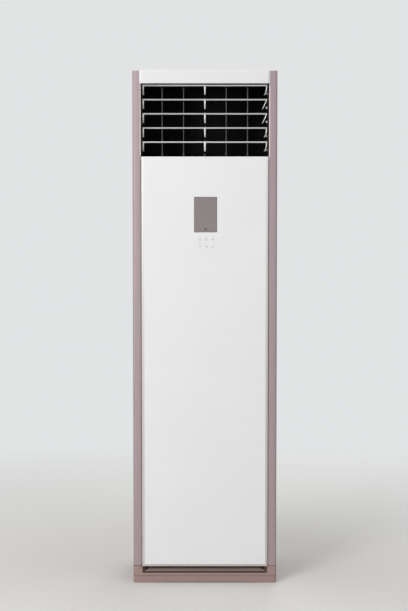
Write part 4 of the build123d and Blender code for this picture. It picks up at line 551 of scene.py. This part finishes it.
def gusset(name, x0, x1, foot_x0, foot_x1, curl=1.0):
    """An upright web under the blade that narrows towards its foot, and may bend sideways."""
    top = LOUVER_RISE - LOUVER_SKIN / 2 - LOUVER_CROWN
    front, rear = -LOUVER_REACH + LIP_SLANT / 2, LOUVER_TAIL - CHEEK_THICK
    web = block(name, (x0, front, -RIB_TAIL), (x1, rear, top))
    with editing(web):
        heights = [-RIB_TAIL + (top + RIB_TAIL) * step / WEB_STEPS for step in range(WEB_STEPS)]
        for z in heights[1:]:
            score((0.0, 0.0, z), (0.0, 0.0, 1.0))
        for step, z in enumerate(heights):
            down = 1.0 - step / WEB_STEPS
            pick("VERT", lambda place, normal: abs(place.z - z) < NEAR)
            width = (x1 - x0) + ((foot_x1 - foot_x0) - (x1 - x0)) * down
            near = front - (RIB_TAIL + front) * down ** WEB_CURVE
            far = rear - (rear - RIB_TAIL) * down
            bpy.ops.transform.resize(value=(width / (x1 - x0), (far - near) / (rear - front), 1.0),
                                     center_override=((x0 + x1) / 2, (front + rear) / 2, z))
            move(x=((foot_x0 + foot_x1) - (x0 + x1)) / 2 * down ** curl, y=(near + far - front - rear) / 2)
    return web


def louver_body(number, half, pin):
    """One louver about its pivot: blade, centre rib, two end cheeks, pivots and crank."""
    body = blade(half)
    lever = number in LEVER_LOUVERS
    tip = RIB_WIDTH if number == 5 else RIB_TIP
    fuse(body, gusset("rib", -RIB_WIDTH / 2, RIB_WIDTH / 2, -tip / 2, tip / 2))
    for side, hook in ((-1, LEFT_HOOK), (1, LEVER_HOOK if lever else RIGHT_HOOK)):
        x0, x1 = span(side, half - CHEEK_THICK, half)
        foot = span(side, half - CHEEK_THICK - hook, half - hook)
        fuse(body, gusset("cheek", x0, x1, *foot, curl=LEVER_CURL if hook == LEVER_HOOK else CHEEK_CURL))
        x0, x1 = span(side, half - CHEEK_THICK - hook * AXLE_INWARDS, half)
        fuse(body, rod("axle", AXLE_R, (x0, 0.0, 0.0), (x1, 0.0, 0.0), 24))
        x0, x1 = span(side, half - CHEEK_THICK / 2, half + LOUVER_STUB)
        fuse(body, rod("stub", STUB_R, (x0, 0.0, 0.0), (x1, 0.0, 0.0)))
        if lever and side > 0:
            x0, x1 = span(side, half - BOSS_LENGTH, half)
            fuse(body, rod("boss", BOSS_R, (x0, 0.0, 0.0), (x1, 0.0, 0.0), 24))
    arm = block("arm", (-CRANK_THICK / 2, -RIB_TAIL, -CRANK_BOSS_R), (CRANK_THICK / 2, pin.y, CRANK_BOSS_R))
    with editing(arm):
        pick("FACE", lambda place, normal: normal.y > TOWARDS)
        move(z=pin.z)
    boss = rod("crank_boss", CRANK_BOSS_R, (-CRANK_THICK / 2, pin.y, pin.z), (RIB_WIDTH / 2, pin.y, pin.z))
    crank_pin = rod("crank_pin", CRANK_PIN_R, (0.0, pin.y, pin.z), (CRANK_PIN_END, pin.y, pin.z), 24)
    rounded(fuse(body, arm, boss, crank_pin), LOUVER_ROUND)
    # Painted shade: the blade's underside behind its lip and the axles inside the levers take the dark second
    # finish; so does the crank arm.
    return with_second_finish(body, lambda place, normal:
                 (normal.z < -STRAIGHT and place.y > LOUVER_LIP_THICK - LOUVER_REACH
                  and place.z > LOUVER_RISE - LOUVER_SKIN - 3 * LOUVER_CROWN)
                 or (abs(place.x) < CRANK_PIN_END + MM and place.y > RIB_TAIL and place.z < RIB_TAIL)
                 or (half - LEVER_HOOK < abs(place.x) < half - BOSS_LENGTH
                     and math.hypot(place.y, place.z) < AXLE_R + NEAR))


def louvers():
    """The five louvers: those that are alike are modelled once and copied."""
    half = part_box("louver_1")[1].x - LOUVER_STUB
    pin = JOINT_AT["louver_link_swing"] - JOINT_AT["louver_1_tilt"]
    masters = {}
    pieces = []
    for number in range(1, 6):
        sort = "lever" if number in LEVER_LOUVERS else "square" if number == 5 else "plain"
        if sort not in masters:
            masters[sort] = louver_body(number, half, pin)
        node = f"louver_{number}"
        pieces.append((copied(masters[sort], node + "_blade", JOINT_AT[node + "_tilt"]), node))
    for master in masters.values():
        bpy.data.objects.remove(master)
    return pieces


def vane_body():
    """The first upright vane: a plate with round corners, pivots at both ends and a crank pin."""
    low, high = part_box("vane_1")
    pivot = JOINT_AT["vane_1_swing"]
    pin = JOINT_AT["vane_link_swing"]
    x, y = pivot.x, pivot.y
    foot, head = low.z + VANE_STUB, high.z - VANE_STUB
    body = block("vane", (x - VANE_THICK / 2, low.y, foot + VANE_LIFT),
                 (x + VANE_THICK / 2, high.y, head - VANE_LIFT))
    soften(body, lambda place, along: abs(along.x) > ALONG, VANE_CORNER_R, 5)
    for end, inwards in ((foot, 1), (head, -1)):
        fuse(body, rod("boss", VANE_BOSS_R, (x, y, end), (x, y, end + inwards * VANE_BOSS), 24),
             rod("stub", STUB_R, (x, y, end - inwards * VANE_STUB), (x, y, end + inwards * MM), 24))
    pin_foot = pin.z + VANE_PIN_RISE
    pin_head = foot + VANE_LIFT + STUB_R
    fuse(body, rod("pin_boss", VANE_PIN_BOSS_R, (x, pin.y, pin_foot), (x, pin.y, pin_head), 24),
         rod("pin", CRANK_PIN_R, (x, pin.y, pin.z - MM), (x, pin.y, pin_foot + MM), 24))
    return rounded(body, VANE_ROUND)


def vanes():
    """The five vanes."""
    master = vane_body()
    start = JOINT_AT["vane_1_swing"]
    pieces = []
    for number in range(1, 6):
        node = f"vane_{number}"
        pieces.append((copied(master, node + "_plate", JOINT_AT[node + "_swing"] - start), node))
    bpy.data.objects.remove(master)
    return pieces


# ---------------------------------------------------------------- small parts
def rear_sheet():
    """The rear sheet with two upright beads pressed outwards, which end short of its ends."""
    node = "back_panel"
    low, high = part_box(node)
    sheet = merged(node, "rear_sheet")
    foot, head = low.z + BEAD_END, high.z - BEAD_END
    cuts = [((0.0, 0.0, z), (0.0, 0.0, 1.0)) for z in (foot, foot + BEAD_SLOPE, head - BEAD_SLOPE, head)]
    for side in (-1, 1):
        for reach in (BEAD_HALF, BEAD_HALF - BEAD_SLOPE):
            cuts += [((side * BEAD_X + shift, 0.0, 0.0), (1.0, 0.0, 0.0)) for shift in (-reach, reach)]
    with editing(sheet):
        for place, across in cuts:
            score(place, across)
        flat = BEAD_HALF - BEAD_SLOPE + NEAR
        pick("VERT", lambda place, normal: place.y > high.y - SHEET_THICK
             and abs(abs(place.x) - BEAD_X) < flat
             and foot + BEAD_SLOPE - NEAR < place.z < head - BEAD_SLOPE + NEAR)
        move(y=BEAD_PROUD)
    return rounded(sheet, REAR_ROUND), node


def cross_screw(x, y, z):
    """A pan-head screw with a cross recess, facing the rear."""
    head = rod("screw", SCREW_HEAD_R, (x, y, z), (x, y + SCREW_HEAD, z), 24)
    soften(head, lambda place, along: place.y > y + SCREW_HEAD - NEAR, SCREW_DOME, 3)
    for wide, tall in ((RECESS_LONG, RECESS_SHORT), (RECESS_SHORT, RECESS_LONG)):
        carve(head, block("recess", (x - wide, y + SCREW_HEAD / 3, z - tall),
                          (x + wide, y + 2 * SCREW_HEAD, z + tall)))
    fuse(head, rod("shank", SCREW_R, (x, y - SCREW_LENGTH, z), (x, y + NEAR, z), 12))
    return rounded(head, SCREW_ROUND, 1)


def cabinet_screws():
    """The screws of the rear sheet: one is modelled, the others are copies, joined in one piece."""
    low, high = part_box("cabinet_screws")
    x = high.x - SCREW_HEAD_R
    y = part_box("back_panel")[1].y
    first = cross_screw(x, y, low.z + SCREW_HEAD_R)
    screws = [first]
    for rise in SCREW_RISES:
        for shift in (0.0, -2 * x):
            if rise or shift:
                screws.append(copied(first, "screw", (shift, 0.0, rise * MM)))
    only(first)
    for screw in screws:
        screw.select_set(True)
    bpy.ops.object.join()
    return named("cabinet_screw_heads"), "cabinet_screws"


def ring(name, radius, thick, place, gap=0.0):
    """A thin printed ring on a key, with an optional gap at its top."""
    x, y, z = place
    band = rod(name, radius, (x, y - PRINT, z), (x, y + PRINT, z), 32)
    carve(band, rod("hole", radius - thick, (x, y - MM, z), (x, y + MM, z), 32))
    if gap:
        carve(band, block("gap", (x - gap, y - MM, z), (x + gap, y + MM, z + 2 * radius)))
    return band


def bar(name, place, wide, tall):
    """A thin printed bar on a key."""
    x, y, z = place
    return block(name, (x - wide / 2, y - PRINT, z - tall / 2), (x + wide / 2, y + PRINT, z + tall / 2))


def arrow(name, place, up, wide):
    """A thin printed triangle that points up or down."""
    x, y, z = place
    head = block(name, (x - wide / 2, y - PRINT, z - wide / 3), (x + wide / 2, y + PRINT, z + wide / 3))
    with editing(head):
        pick("VERT", lambda point, normal: (point.z - z) * up > 0)
        bpy.ops.transform.resize(value=(ARROW_TIP, 1.0, 1.0), center_override=(x, y, z))
    return head


def icon(node):
    """The generic mark on one key."""
    low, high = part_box(node)
    place = x, y, z = (low.x + high.x) / 2, low.y, (low.z + high.z) / 2
    name = node + "_mark"
    sort = node.split("_")[1]
    if sort == "power":
        mark = ring(name, ICON / 2, STROKE, place, STROKE)
        return fuse(mark, bar("stem", (x, y, z + ICON / 3), STROKE, ICON / 2))
    if sort == "mode":
        mark = ring(name, ICON / 2, STROKE, place)
        return fuse(mark, bar("bar", place, ICON, STROKE))
    if sort == "speed":
        mark = rod(name, STROKE, (x, y - PRINT, z), (x, y + PRINT, z), 24)
        for turn in range(3):
            angle = math.radians(90 + 120 * turn)
            lobe_x, lobe_z = x + MARK_ARM * math.cos(angle), z + MARK_ARM * math.sin(angle)
            fuse(mark, rod("blade", FAN_LOBE, (lobe_x, y - PRINT, lobe_z), (lobe_x, y + PRINT, lobe_z), 24))
        return mark
    if sort in ("cooler", "warmer"):
        return arrow(name, place, 1 if sort == "warmer" else -1, ICON)
    mark = bar(name, place, ICON, STROKE)
    for side in (-1, 1):
        fuse(mark, arrow("tip", (x, y, z + side * MARK_ARM), side, ICON / 2))
    return mark


# ---------------------------------------------------------------- shader maths
class Value:
    """A shader value that can stand in a Python sum."""

    def __init__(self, finish, socket):
        self.finish = finish
        self.socket = socket

    def maths(self, operation, first, second=None):
        """The result of a maths node on one or two values."""
        values = {0: first}
        if second is not None:
            values[1] = second
        node = self.finish.node("ShaderNodeMath", {"operation": operation}, values)
        return Value(self.finish, node.outputs[0])

    def __add__(self, other):
        return self.maths("ADD", self, other)

    def __radd__(self, other):
        return self.maths("ADD", other, self)

    def __sub__(self, other):
        return self.maths("SUBTRACT", self, other)

    def __rsub__(self, other):
        return self.maths("SUBTRACT", other, self)

    def __mul__(self, other):
        return self.maths("MULTIPLY", self, other)

    def __truediv__(self, other):
        return self.maths("DIVIDE", self, other)

    def __gt__(self, other):
        return self.maths("GREATER_THAN", self, other)

    def __lt__(self, other):
        return self.maths("LESS_THAN", self, other)

    def clamped(self):
        """The value held between 0 and 1."""
        return self.maths("MINIMUM", self.maths("MAXIMUM", self, 0.0), 1.0)

    def size(self):
        """The value without its sign."""
        return self.maths("ABSOLUTE", self)

    def phase(self, pitch):
        """How far it is through its repeat, from 0 to 1."""
        return self.maths("FRACT", self / pitch)


class Shading:
    """The nodes of one material or of the sky."""

    def __init__(self, owner):
        owner.use_nodes = True
        self.owner = owner
        self.tree = owner.node_tree
        self.tree.nodes.clear()

    def node(self, kind, settings, values):
        """Add a node: its settings first, then the values or links of its sockets."""
        made = self.tree.nodes.new(kind)
        for name, value in settings.items():
            setattr(made, name, value)
        for name, value in values.items():
            self.feed(made.inputs[name], value)
        return made

    def feed(self, socket, value):
        """Link a socket to a value or another socket, or set it to a plain number or colour."""
        if isinstance(value, Value):
            self.tree.links.new(value.socket, socket)
        elif isinstance(value, bpy.types.NodeSocket):
            self.tree.links.new(value, socket)
        elif isinstance(value, tuple) and socket.type == "RGBA":
            socket.default_value = (*value, 1.0)
        else:
            socket.default_value = value

    def seen(self):
        """1 for what the camera sees directly, in gloss or through glass, and 0 for its light on things."""
        path = self.node("ShaderNodeLightPath", {}, {})
        camera, gloss, clear = (Value(self, path.outputs[f"Is {ray} Ray"])
                                for ray in ("Camera", "Glossy", "Transmission"))
        return (camera + gloss + clear).clamped()


class Finish(Shading):
    """One procedural material around a Principled surface."""

    def __init__(self, name, **surface):
        super().__init__(bpy.data.materials.new(name))
        self.material = self.owner
        self.surface = self.node("ShaderNodeBsdfPrincipled", {}, {})
        self.output = self.node("ShaderNodeOutputMaterial", {}, {"Surface": self.surface.outputs[0]})
        self.set(**surface)

    def set(self, **surface):
        """Set or link sockets of the surface; their names have _ for a space."""
        for name, value in surface.items():
            self.feed(self.surface.inputs[name.replace("_", " ")], value)
        return self

    def place(self):
        """The point's place on the cabinet, in metres."""
        return self.node("ShaderNodeTexCoord", {}, {}).outputs["Object"]

    def axes(self):
        """Its x, y and z as values."""
        split = self.node("ShaderNodeSeparateXYZ", {}, {"Vector": self.place()})
        return [Value(self, split.outputs[name]) for name in "XYZ"]

    def stretched(self, scale):
        """Its place, stretched along each axis."""
        return self.node("ShaderNodeMapping", {}, {"Vector": self.place(), "Scale": scale}).outputs[0]

    def noise(self, scale, detail, rough=0.5, where=None):
        """Soft random values from 0 to 1."""
        node = self.node("ShaderNodeTexNoise", {}, {
            "Vector": where or self.place(), "Scale": scale, "Detail": detail, "Roughness": rough})
        return Value(self, node.outputs["Fac"])

    def cells(self, scale):
        """A random value for each small cell."""
        node = self.node("ShaderNodeTexVoronoi", {}, {"Vector": self.place(), "Scale": scale})
        split = self.node("ShaderNodeSeparateColor", {}, {"Color": node.outputs["Color"]})
        return Value(self, split.outputs[0])

    def blend(self, amount, first, second):
        """Mix two colours."""
        node = self.node("ShaderNodeMix", {"data_type": "RGBA"}, {0: amount, 6: first, 7: second})
        return node.outputs[2]

    def bump(self, height, depth, strength):
        """Surface relief of a height from 0 to 1, as deep as given in metres."""
        node = self.node("ShaderNodeBump", {}, {"Height": height, "Distance": depth, "Strength": strength})
        return node.outputs[0]

    def grained(self, grain, rough, spread, depth, strength):
        """Let a grain vary the roughness and stand out as relief."""
        return self.set(Roughness=rough + grain * spread, Normal=self.bump(grain, depth, strength))


def srgb(red, green, blue):
    """A colour as it looks on a screen, from 0 to 255, in the shader's linear values."""
    def linear(value):
        value /= 255.0
        return value / 12.92 if value <= 0.04045 else ((value + 0.055) / 1.055) ** 2.4
    return linear(red), linear(green), linear(blue)


BACKDROP = srgb(226, 227, 228)


# ---------------------------------------------------------------- finishes
def white_shell():
    """Glossy moulded plastic with the faint ripple of a large moulding.

    The panel's beveled border carries painted shade that darkens downwards. Between the panel and the top band,
    the louvers' lips are a shade greyer as painted shade, but for the lowest one; that lip, the ribs and cheeks
    are painted brighter than the panel as painted light, and the top band a shade darker as painted shade.
    """
    finish = Finish("white_shell", Coat_Weight=0.3, Coat_Roughness=0.1)
    low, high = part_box("front_panel")
    x, _, z = finish.axes()
    cloud = finish.noise(5.0, 3.0)
    grain = finish.noise(700.0, 2.0)
    side = x.size() > high.x - PANEL_PIN - BEVEL_WIDE
    end = (z < low.z + BEVEL_WIDE) + (z > high.z - BEVEL_WIDE)
    below = z < high.z + NEAR
    height = ((z - low.z) / (high.z - low.z)).clamped()
    # Painted shade: the beveled border is greyer than the panel and darkens downwards.
    border = finish.blend(height * height, srgb(204, 198, 195), srgb(237, 236, 236))
    white = finish.blend(cloud, srgb(237, 237, 238), srgb(243, 243, 244))
    white = finish.blend((side + end).clamped() * below, white, border)
    # Painted light and shade on the louvers: the lips are a shade greyer as painted shade, while the ribs, cheeks
    # and the lowest lip are brighter than the panel as painted light.
    rise = z - JOINT_AT["louver_5_tilt"].z
    lip = (rise + RIB_TAIL).phase(LOUVER_PITCH) > (LIP_LOW + RIB_TAIL) / LOUVER_PITCH
    blade_painted_light_and_shade = finish.blend(lip * (rise > LOUVER_RISE + MM), srgb(250, 250, 250), srgb(222, 221, 221))
    # Painted shade: the top band is a shade darker than the panel.
    upper = finish.blend(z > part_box("top_cover")[1].z - BAND_HEIGHT - MM, blade_painted_light_and_shade, srgb(235, 235, 236))
    white = finish.blend(below, upper, white)
    finish.set(Base_Color=white)
    return finish.grained(grain, rough=0.3, spread=0.12, depth=0.04 * MM, strength=0.35)


def mauve_trim():
    """Satin metallic paint with fine flakes, a shade browner on the plinth.

    The columns' lips carry a pale painted highlight beside the outlet. The plinth's seam and groove are painted
    shadow lines, and the finger recess has painted light on its floor and painted shade on its front, rear and
    ends.
    """
    finish = Finish("mauve_trim", Metallic=0.15)
    x, y, z = finish.axes()
    low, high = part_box("base_plinth")
    panel_half, panel_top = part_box("front_panel")[1].x - PANEL_PIN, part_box("front_panel")[1].z
    flake = finish.cells(2400.0)
    cloud = finish.noise(4.0, 3.0)
    tone = finish.blend(flake, srgb(158, 140, 144), srgb(180, 162, 166))
    tone = finish.blend(cloud * 0.3, tone, srgb(166, 144, 145))
    plinth = finish.blend(flake, srgb(154, 128, 123), srgb(172, 146, 141))
    tone = finish.blend(z < high.z, tone, plinth)
    # Painted light and shade in the finger recess: a pale floor, and a dark front, rear and ends.
    deep = (y - low.y) / RECESS_DEEP
    within = (z > RECESS_LOW) * (z < high.z) * (x.size() < panel_half + MM)
    recess = (deep > RECESS_START) * (deep < RECESS_STOP) * within
    side = x.size() > panel_half - MM / 2 - deep * RECESS_SLANT
    floor = finish.blend(deep > FLOOR_PALE, srgb(96, 76, 70), srgb(186, 170, 162))
    floor = finish.blend(((deep > FLOOR_DARK) + side).clamped(), floor, srgb(54, 40, 38))
    tone = finish.blend(recess, tone, floor)
    # Painted highlight: the columns' lips are pale beside the outlet.
    beside = (x.size() < panel_half + PANEL_GAP + COLUMN_EDGE) * (z > panel_top)
    tone = finish.blend(beside * (y < low.y + LIP_BACK + LIP_THICK), tone, srgb(224, 208, 210))
    # Painted shadow lines at the plinth's seam and groove.
    line = ((z - high.z).size() < SEAM) + ((z - GROOVE_Z).size() < GROOVE) * GROOVE_SHADE
    finish.set(Base_Color=finish.blend(line.clamped(), tone, srgb(44, 34, 34)))
    return finish.grained(flake, rough=0.42, spread=0.14, depth=0.02 * MM, strength=0.3)


def mauve_sheet():
    """Powder coat on the side sheets: a fine even orange peel."""
    finish = Finish("mauve_sheet", Metallic=0.1)
    peel = finish.noise(650.0, 2.0, 0.4)
    cloud = finish.noise(3.0, 3.0)
    finish.set(Base_Color=finish.blend(cloud, srgb(163, 146, 150), srgb(172, 155, 159)))
    return finish.grained(peel, rough=0.42, spread=0.14, depth=0.06 * MM, strength=0.5)


def galvanised_steel():
    """Zinc-coated sheet with its spangle and fine roll marks."""
    finish = Finish("galvanised_steel", Metallic=0.85)
    spangle = finish.cells(150.0)
    marks = finish.noise(40.0, 4.0, 0.6, finish.stretched((1.0, 1.0, 12.0)))
    tone = finish.blend(spangle, srgb(164, 168, 171), srgb(178, 182, 185))
    finish.set(Base_Color=finish.blend(marks * 0.4, tone, srgb(140, 143, 146)))
    relief = finish.bump(marks, 0.03 * MM, 0.4)
    return finish.set(Roughness=0.38 + spangle * 0.1 + marks * 0.12, Normal=relief)


def black_plastic():
    """Matte black moulding with a fine eroded texture."""
    finish = Finish("black_plastic", Specular_IOR_Level=0.3)
    grain = finish.noise(1500.0, 3.0, 0.6)
    finish.set(Base_Color=finish.blend(grain, (0.004, 0.004, 0.0045), (0.010, 0.010, 0.011)))
    return finish.grained(grain, rough=0.6, spread=0.2, depth=0.06 * MM, strength=0.6)


def grey_vane():
    """Dark grey moulding of the vanes and the fan; the vanes' front edges carry a pale painted highlight."""
    finish = Finish("grey_vane", Specular_IOR_Level=0.4)
    grain = finish.noise(1200.0, 3.0)
    _, y, _ = finish.axes()
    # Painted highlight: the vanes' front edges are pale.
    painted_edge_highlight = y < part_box("vane_1")[0].y + VANE_EDGE
    grey = finish.blend(grain, srgb(58, 59, 62), srgb(74, 75, 78))
    finish.set(Base_Color=finish.blend(painted_edge_highlight, grey, srgb(138, 139, 141)))
    return finish.grained(grain, rough=0.48, spread=0.14, depth=0.04 * MM, strength=0.5)


def smoked_window():
    """Smoked window: a darker printed border and a receiver spot on a grey mauve field, under clear gloss."""
    finish = Finish("smoked_window", Coat_Weight=1.0, Coat_Roughness=0.03, Roughness=0.18)
    low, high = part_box("display_window")
    x, _, z = finish.axes()
    middle_x, middle_z = (low.x + high.x) / 2, (low.z + high.z) / 2
    across = (x - middle_x).size() > (high.x - low.x) / 2 - WINDOW_FLANGE - WINDOW_BORDER
    along = (z - middle_z).size() > (high.z - low.z) / 2 - WINDOW_FLANGE - WINDOW_BORDER
    border = (across + along).clamped()
    cloud = finish.noise(14.0, 2.0)
    field = finish.blend(cloud, srgb(129, 119, 119), srgb(141, 131, 130))
    field = finish.blend(border, field, srgb(108, 99, 101))
    aside, above = x - middle_x, z - low.z - RECEIVER_UP
    spot = aside * aside + above * above * RECEIVER_SQUASH
    amount = (1.0 - spot / RECEIVER_R ** 2).clamped()
    return finish.set(Base_Color=finish.blend(amount, field, srgb(88, 74, 80)))


def foam(name, dark, light):
    """Expanded foam: pressed beads with fine grooves between them."""
    finish = Finish(name, Specular_IOR_Level=0.25, Roughness=0.85)
    bead = finish.cells(BEAD_CELLS)
    node = finish.node("ShaderNodeTexVoronoi", {"feature": "DISTANCE_TO_EDGE"},
                       {"Vector": finish.place(), "Scale": BEAD_CELLS})
    groove = (Value(finish, node.outputs["Distance"]) * 6.0).clamped()
    finish.set(Base_Color=finish.blend(bead, dark, light))
    return finish.set(Normal=finish.bump(groove, 0.25 * MM, 0.7))


def rubber_pad():
    """Dull black rubber."""
    finish = Finish("rubber_pad", Specular_IOR_Level=0.3)
    grain = finish.noise(900.0, 3.0, 0.6)
    finish.set(Base_Color=finish.blend(grain, (0.012, 0.012, 0.013), (0.026, 0.026, 0.027)))
    return finish.grained(grain, rough=0.75, spread=0.15, depth=0.1 * MM, strength=0.7)


def aluminium_fins():
    """The coil's fin pack: fine bright edges side by side."""
    finish = Finish("aluminium_fins", Metallic=0.9, Roughness=0.4)
    x, _, _ = finish.axes()
    gap = x.phase(FIN_PITCH) > FIN_SHARE
    cloud = finish.noise(18.0, 3.0)
    bright = finish.blend(cloud, srgb(184, 188, 190), srgb(206, 210, 212))
    finish.set(Base_Color=finish.blend(gap, bright, srgb(52, 54, 56)))
    return finish.set(Normal=finish.bump(1.0 - gap, 0.4 * MM, 0.8))


def copper_tube():
    """Drawn copper with faint tarnish."""
    finish = Finish("copper_tube", Metallic=1.0)
    stain = finish.noise(35.0, 4.0, 0.6)
    finish.set(Base_Color=finish.blend(stain, srgb(196, 120, 82), srgb(150, 86, 60)))
    return finish.set(Roughness=0.26 + stain * 0.2)


def circuit_board():
    """Green lacquered board with lighter tracks."""
    finish = Finish("circuit_board", Roughness=0.35)
    x, _, z = finish.axes()
    wander = finish.noise(30.0, 1.0) * TRACK_WANDER
    track = ((x + wander).phase(TRACK_PITCH) > TRACK_GAP) * ((z - wander).phase(TRACK_RUN) > TRACK_BREAK)
    finish.set(Base_Color=finish.blend(track, srgb(22, 78, 46), srgb(44, 112, 66)))
    return finish.set(Normal=finish.bump(track, 0.04 * MM, 0.6))


def filter_mesh():
    """Moulded filter frame with a fine net between its bars."""
    finish = Finish("filter_mesh", Roughness=0.6)
    x, y, z = finish.axes()
    low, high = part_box("right_filter")
    net = (x.size() - (low.x + high.x) / 2).size() < NET_HALF
    thread = ((y.phase(NET_PITCH) < NET_THREAD) + (z.phase(NET_PITCH) < NET_THREAD)).clamped()
    weave = finish.blend(thread, srgb(42, 44, 48), srgb(150, 154, 160))
    finish.set(Base_Color=finish.blend(net, srgb(206, 208, 210), weave))
    return finish.set(Normal=finish.bump(thread * net, 0.15 * MM, 0.6))


def motor_paint():
    """Dark grey paint on the motors."""
    finish = Finish("motor_paint", Metallic=0.2)
    grain = finish.noise(500.0, 3.0)
    finish.set(Base_Color=finish.blend(grain, srgb(82, 86, 92), srgb(98, 102, 108)))
    return finish.grained(grain, rough=0.4, spread=0.15, depth=0.05 * MM, strength=0.5)


def screw_steel():
    """Zinc-plated screws and the ground fan shaft."""
    finish = Finish("screw_steel", Metallic=1.0)
    wear = finish.noise(400.0, 4.0, 0.6)
    finish.set(Base_Color=finish.blend(wear, srgb(196, 198, 200), srgb(158, 160, 163)))
    return finish.set(Roughness=0.24 + wear * 0.2)


def white_plastic():
    """Plain white mouldings inside the cabinet."""
    finish = Finish("white_plastic")
    grain = finish.noise(600.0, 2.0)
    finish.set(Base_Color=finish.blend(grain, srgb(222, 222, 219), srgb(232, 232, 229)))
    return finish.grained(grain, rough=0.48, spread=0.12, depth=0.05 * MM, strength=0.4)


def key_print():
    """Pale grey print on the keys."""
    finish = Finish("key_print", Roughness=0.5)
    grain = finish.noise(3000.0, 2.0)
    return finish.set(Base_Color=finish.blend(grain, srgb(176, 178, 180), srgb(188, 190, 192)))


def all_finishes():
    """One finish for each material slot of the record, and the print."""
    makers = (white_shell, mauve_trim, mauve_sheet, galvanised_steel, black_plastic, grey_vane, smoked_window,
              rubber_pad, aluminium_fins, copper_tube, circuit_board, filter_mesh, motor_paint, screw_steel,
              white_plastic, key_print)
    finishes = {maker.__name__: maker().material for maker in makers}
    finishes["foam"] = foam("foam", srgb(222, 220, 212), srgb(236, 234, 228)).material
    # The dark foam also serves as painted shade under the louvers.
    finishes["dark_foam"] = foam("dark_foam", (0.004, 0.004, 0.0045), (0.012, 0.012, 0.013)).material
    return finishes


# ---------------------------------------------------------------- room and light
def set_room():
    """A pale floor that fades into a plain pale backdrop."""
    finish = Finish("floor_paper", Roughness=0.85, Specular_IOR_Level=0.2)
    grain = finish.noise(60.0, 3.0)
    finish.set(Base_Color=finish.blend(grain, srgb(228, 226, 222), srgb(233, 231, 227)))
    length = finish.node("ShaderNodeVectorMath", {"operation": "LENGTH"}, {0: finish.place()})
    far = ((Value(finish, length.outputs["Value"]) - FADE_NEAR) / (FADE_FAR - FADE_NEAR)).clamped()
    haze = finish.node("ShaderNodeEmission", {}, {"Color": BACKDROP, "Strength": 1.0})
    mixed = finish.node("ShaderNodeMixShader", {}, {
        0: far * finish.seen(), 1: finish.surface.outputs[0], 2: haze.outputs[0]})
    finish.feed(finish.output.inputs["Surface"], mixed.outputs[0])
    floor = block("floor", (-FLOOR / 2, -FLOOR / 2, -FLOOR_THICK), (FLOOR / 2, FLOOR / 2, 0.0))
    floor.data.materials.append(finish.material)
    sky = Shading(bpy.data.worlds.new("studio"))
    strength = sky.seen() * (1.0 - AMBIENT) + AMBIENT
    glow = sky.node("ShaderNodeBackground", {}, {"Color": BACKDROP, "Strength": strength})
    sky.node("ShaderNodeOutputWorld", {}, {"Surface": glow.outputs[0]})
    bpy.context.scene.world = sky.owner


def soft_box(name, place, aim_z, width, height, watts):
    """A rectangular area light that points at a height on the cabinet's axis."""
    data = bpy.data.lights.new(name, "AREA")
    data.shape = "RECTANGLE"
    data.size = width
    data.size_y = height
    data.energy = watts
    lamp = bpy.data.objects.new(name, data)
    lamp.location = place
    lamp.rotation_euler = (Vector((0.0, 0.0, aim_z)) - Vector(place)).to_track_quat("-Z", "Y").to_euler()
    bpy.context.scene.collection.objects.link(lamp)


def set_lights():
    """Two soft boxes at the front, one overhead and one behind."""
    soft_box("key_light", (-2.3, -3.5, 2.1), 1.0, width=1.6, height=2.6, watts=92.0)
    soft_box("fill_light", (1.2, -3.9, 1.5), 0.9, width=1.6, height=2.4, watts=8.0)
    soft_box("top_light", (0.0, -0.4, 4.0), 0.4, width=3.0, height=2.0, watts=44.0)
    soft_box("rear_light", (0.7, 3.6, 2.3), 0.9, width=2.0, height=2.4, watts=46.0)


# ---------------------------------------------------------------- the whole scene
def dress_nodes(finishes):
    """Give every construction node the finish of its slot."""
    for name, node in NODES.items():
        node.data.materials.clear()
        node.data.materials.append(finishes[SLOT_OF[name]])


def model_pieces(finishes):
    """Model the pieces and let them stand for their construction nodes."""
    pieces = [column(-1), column(1), front_panel(), display_window(), rear_sheet(), cabinet_screws()]
    pieces += [key_cap(node) for node in KEYS]
    pieces += louvers() + vanes()
    pieces += [(rounded(merged(node, node + "_part"), width), node) for node, width in REFINED.items()]
    for piece, node in pieces:
        # The louvers' second finish is the dark foam: painted shade on their undersides and axles, and the colour
        # of their crank arm.
        shade_and_arm_finish = finishes["dark_foam"] if node.startswith("louver") else None
        install(piece, finishes[SLOT_OF[node]], node, shade_and_arm_finish=shade_and_arm_finish)
    for node in KEYS:
        install(icon(node), finishes["key_print"], body=BODY_OF[node])


set_camera()
set_room()
set_lights()
finishes = all_finishes()
dress_nodes(finishes)
model_pieces(finishes)
bpy.context.scene.view_settings.view_transform = "Standard"
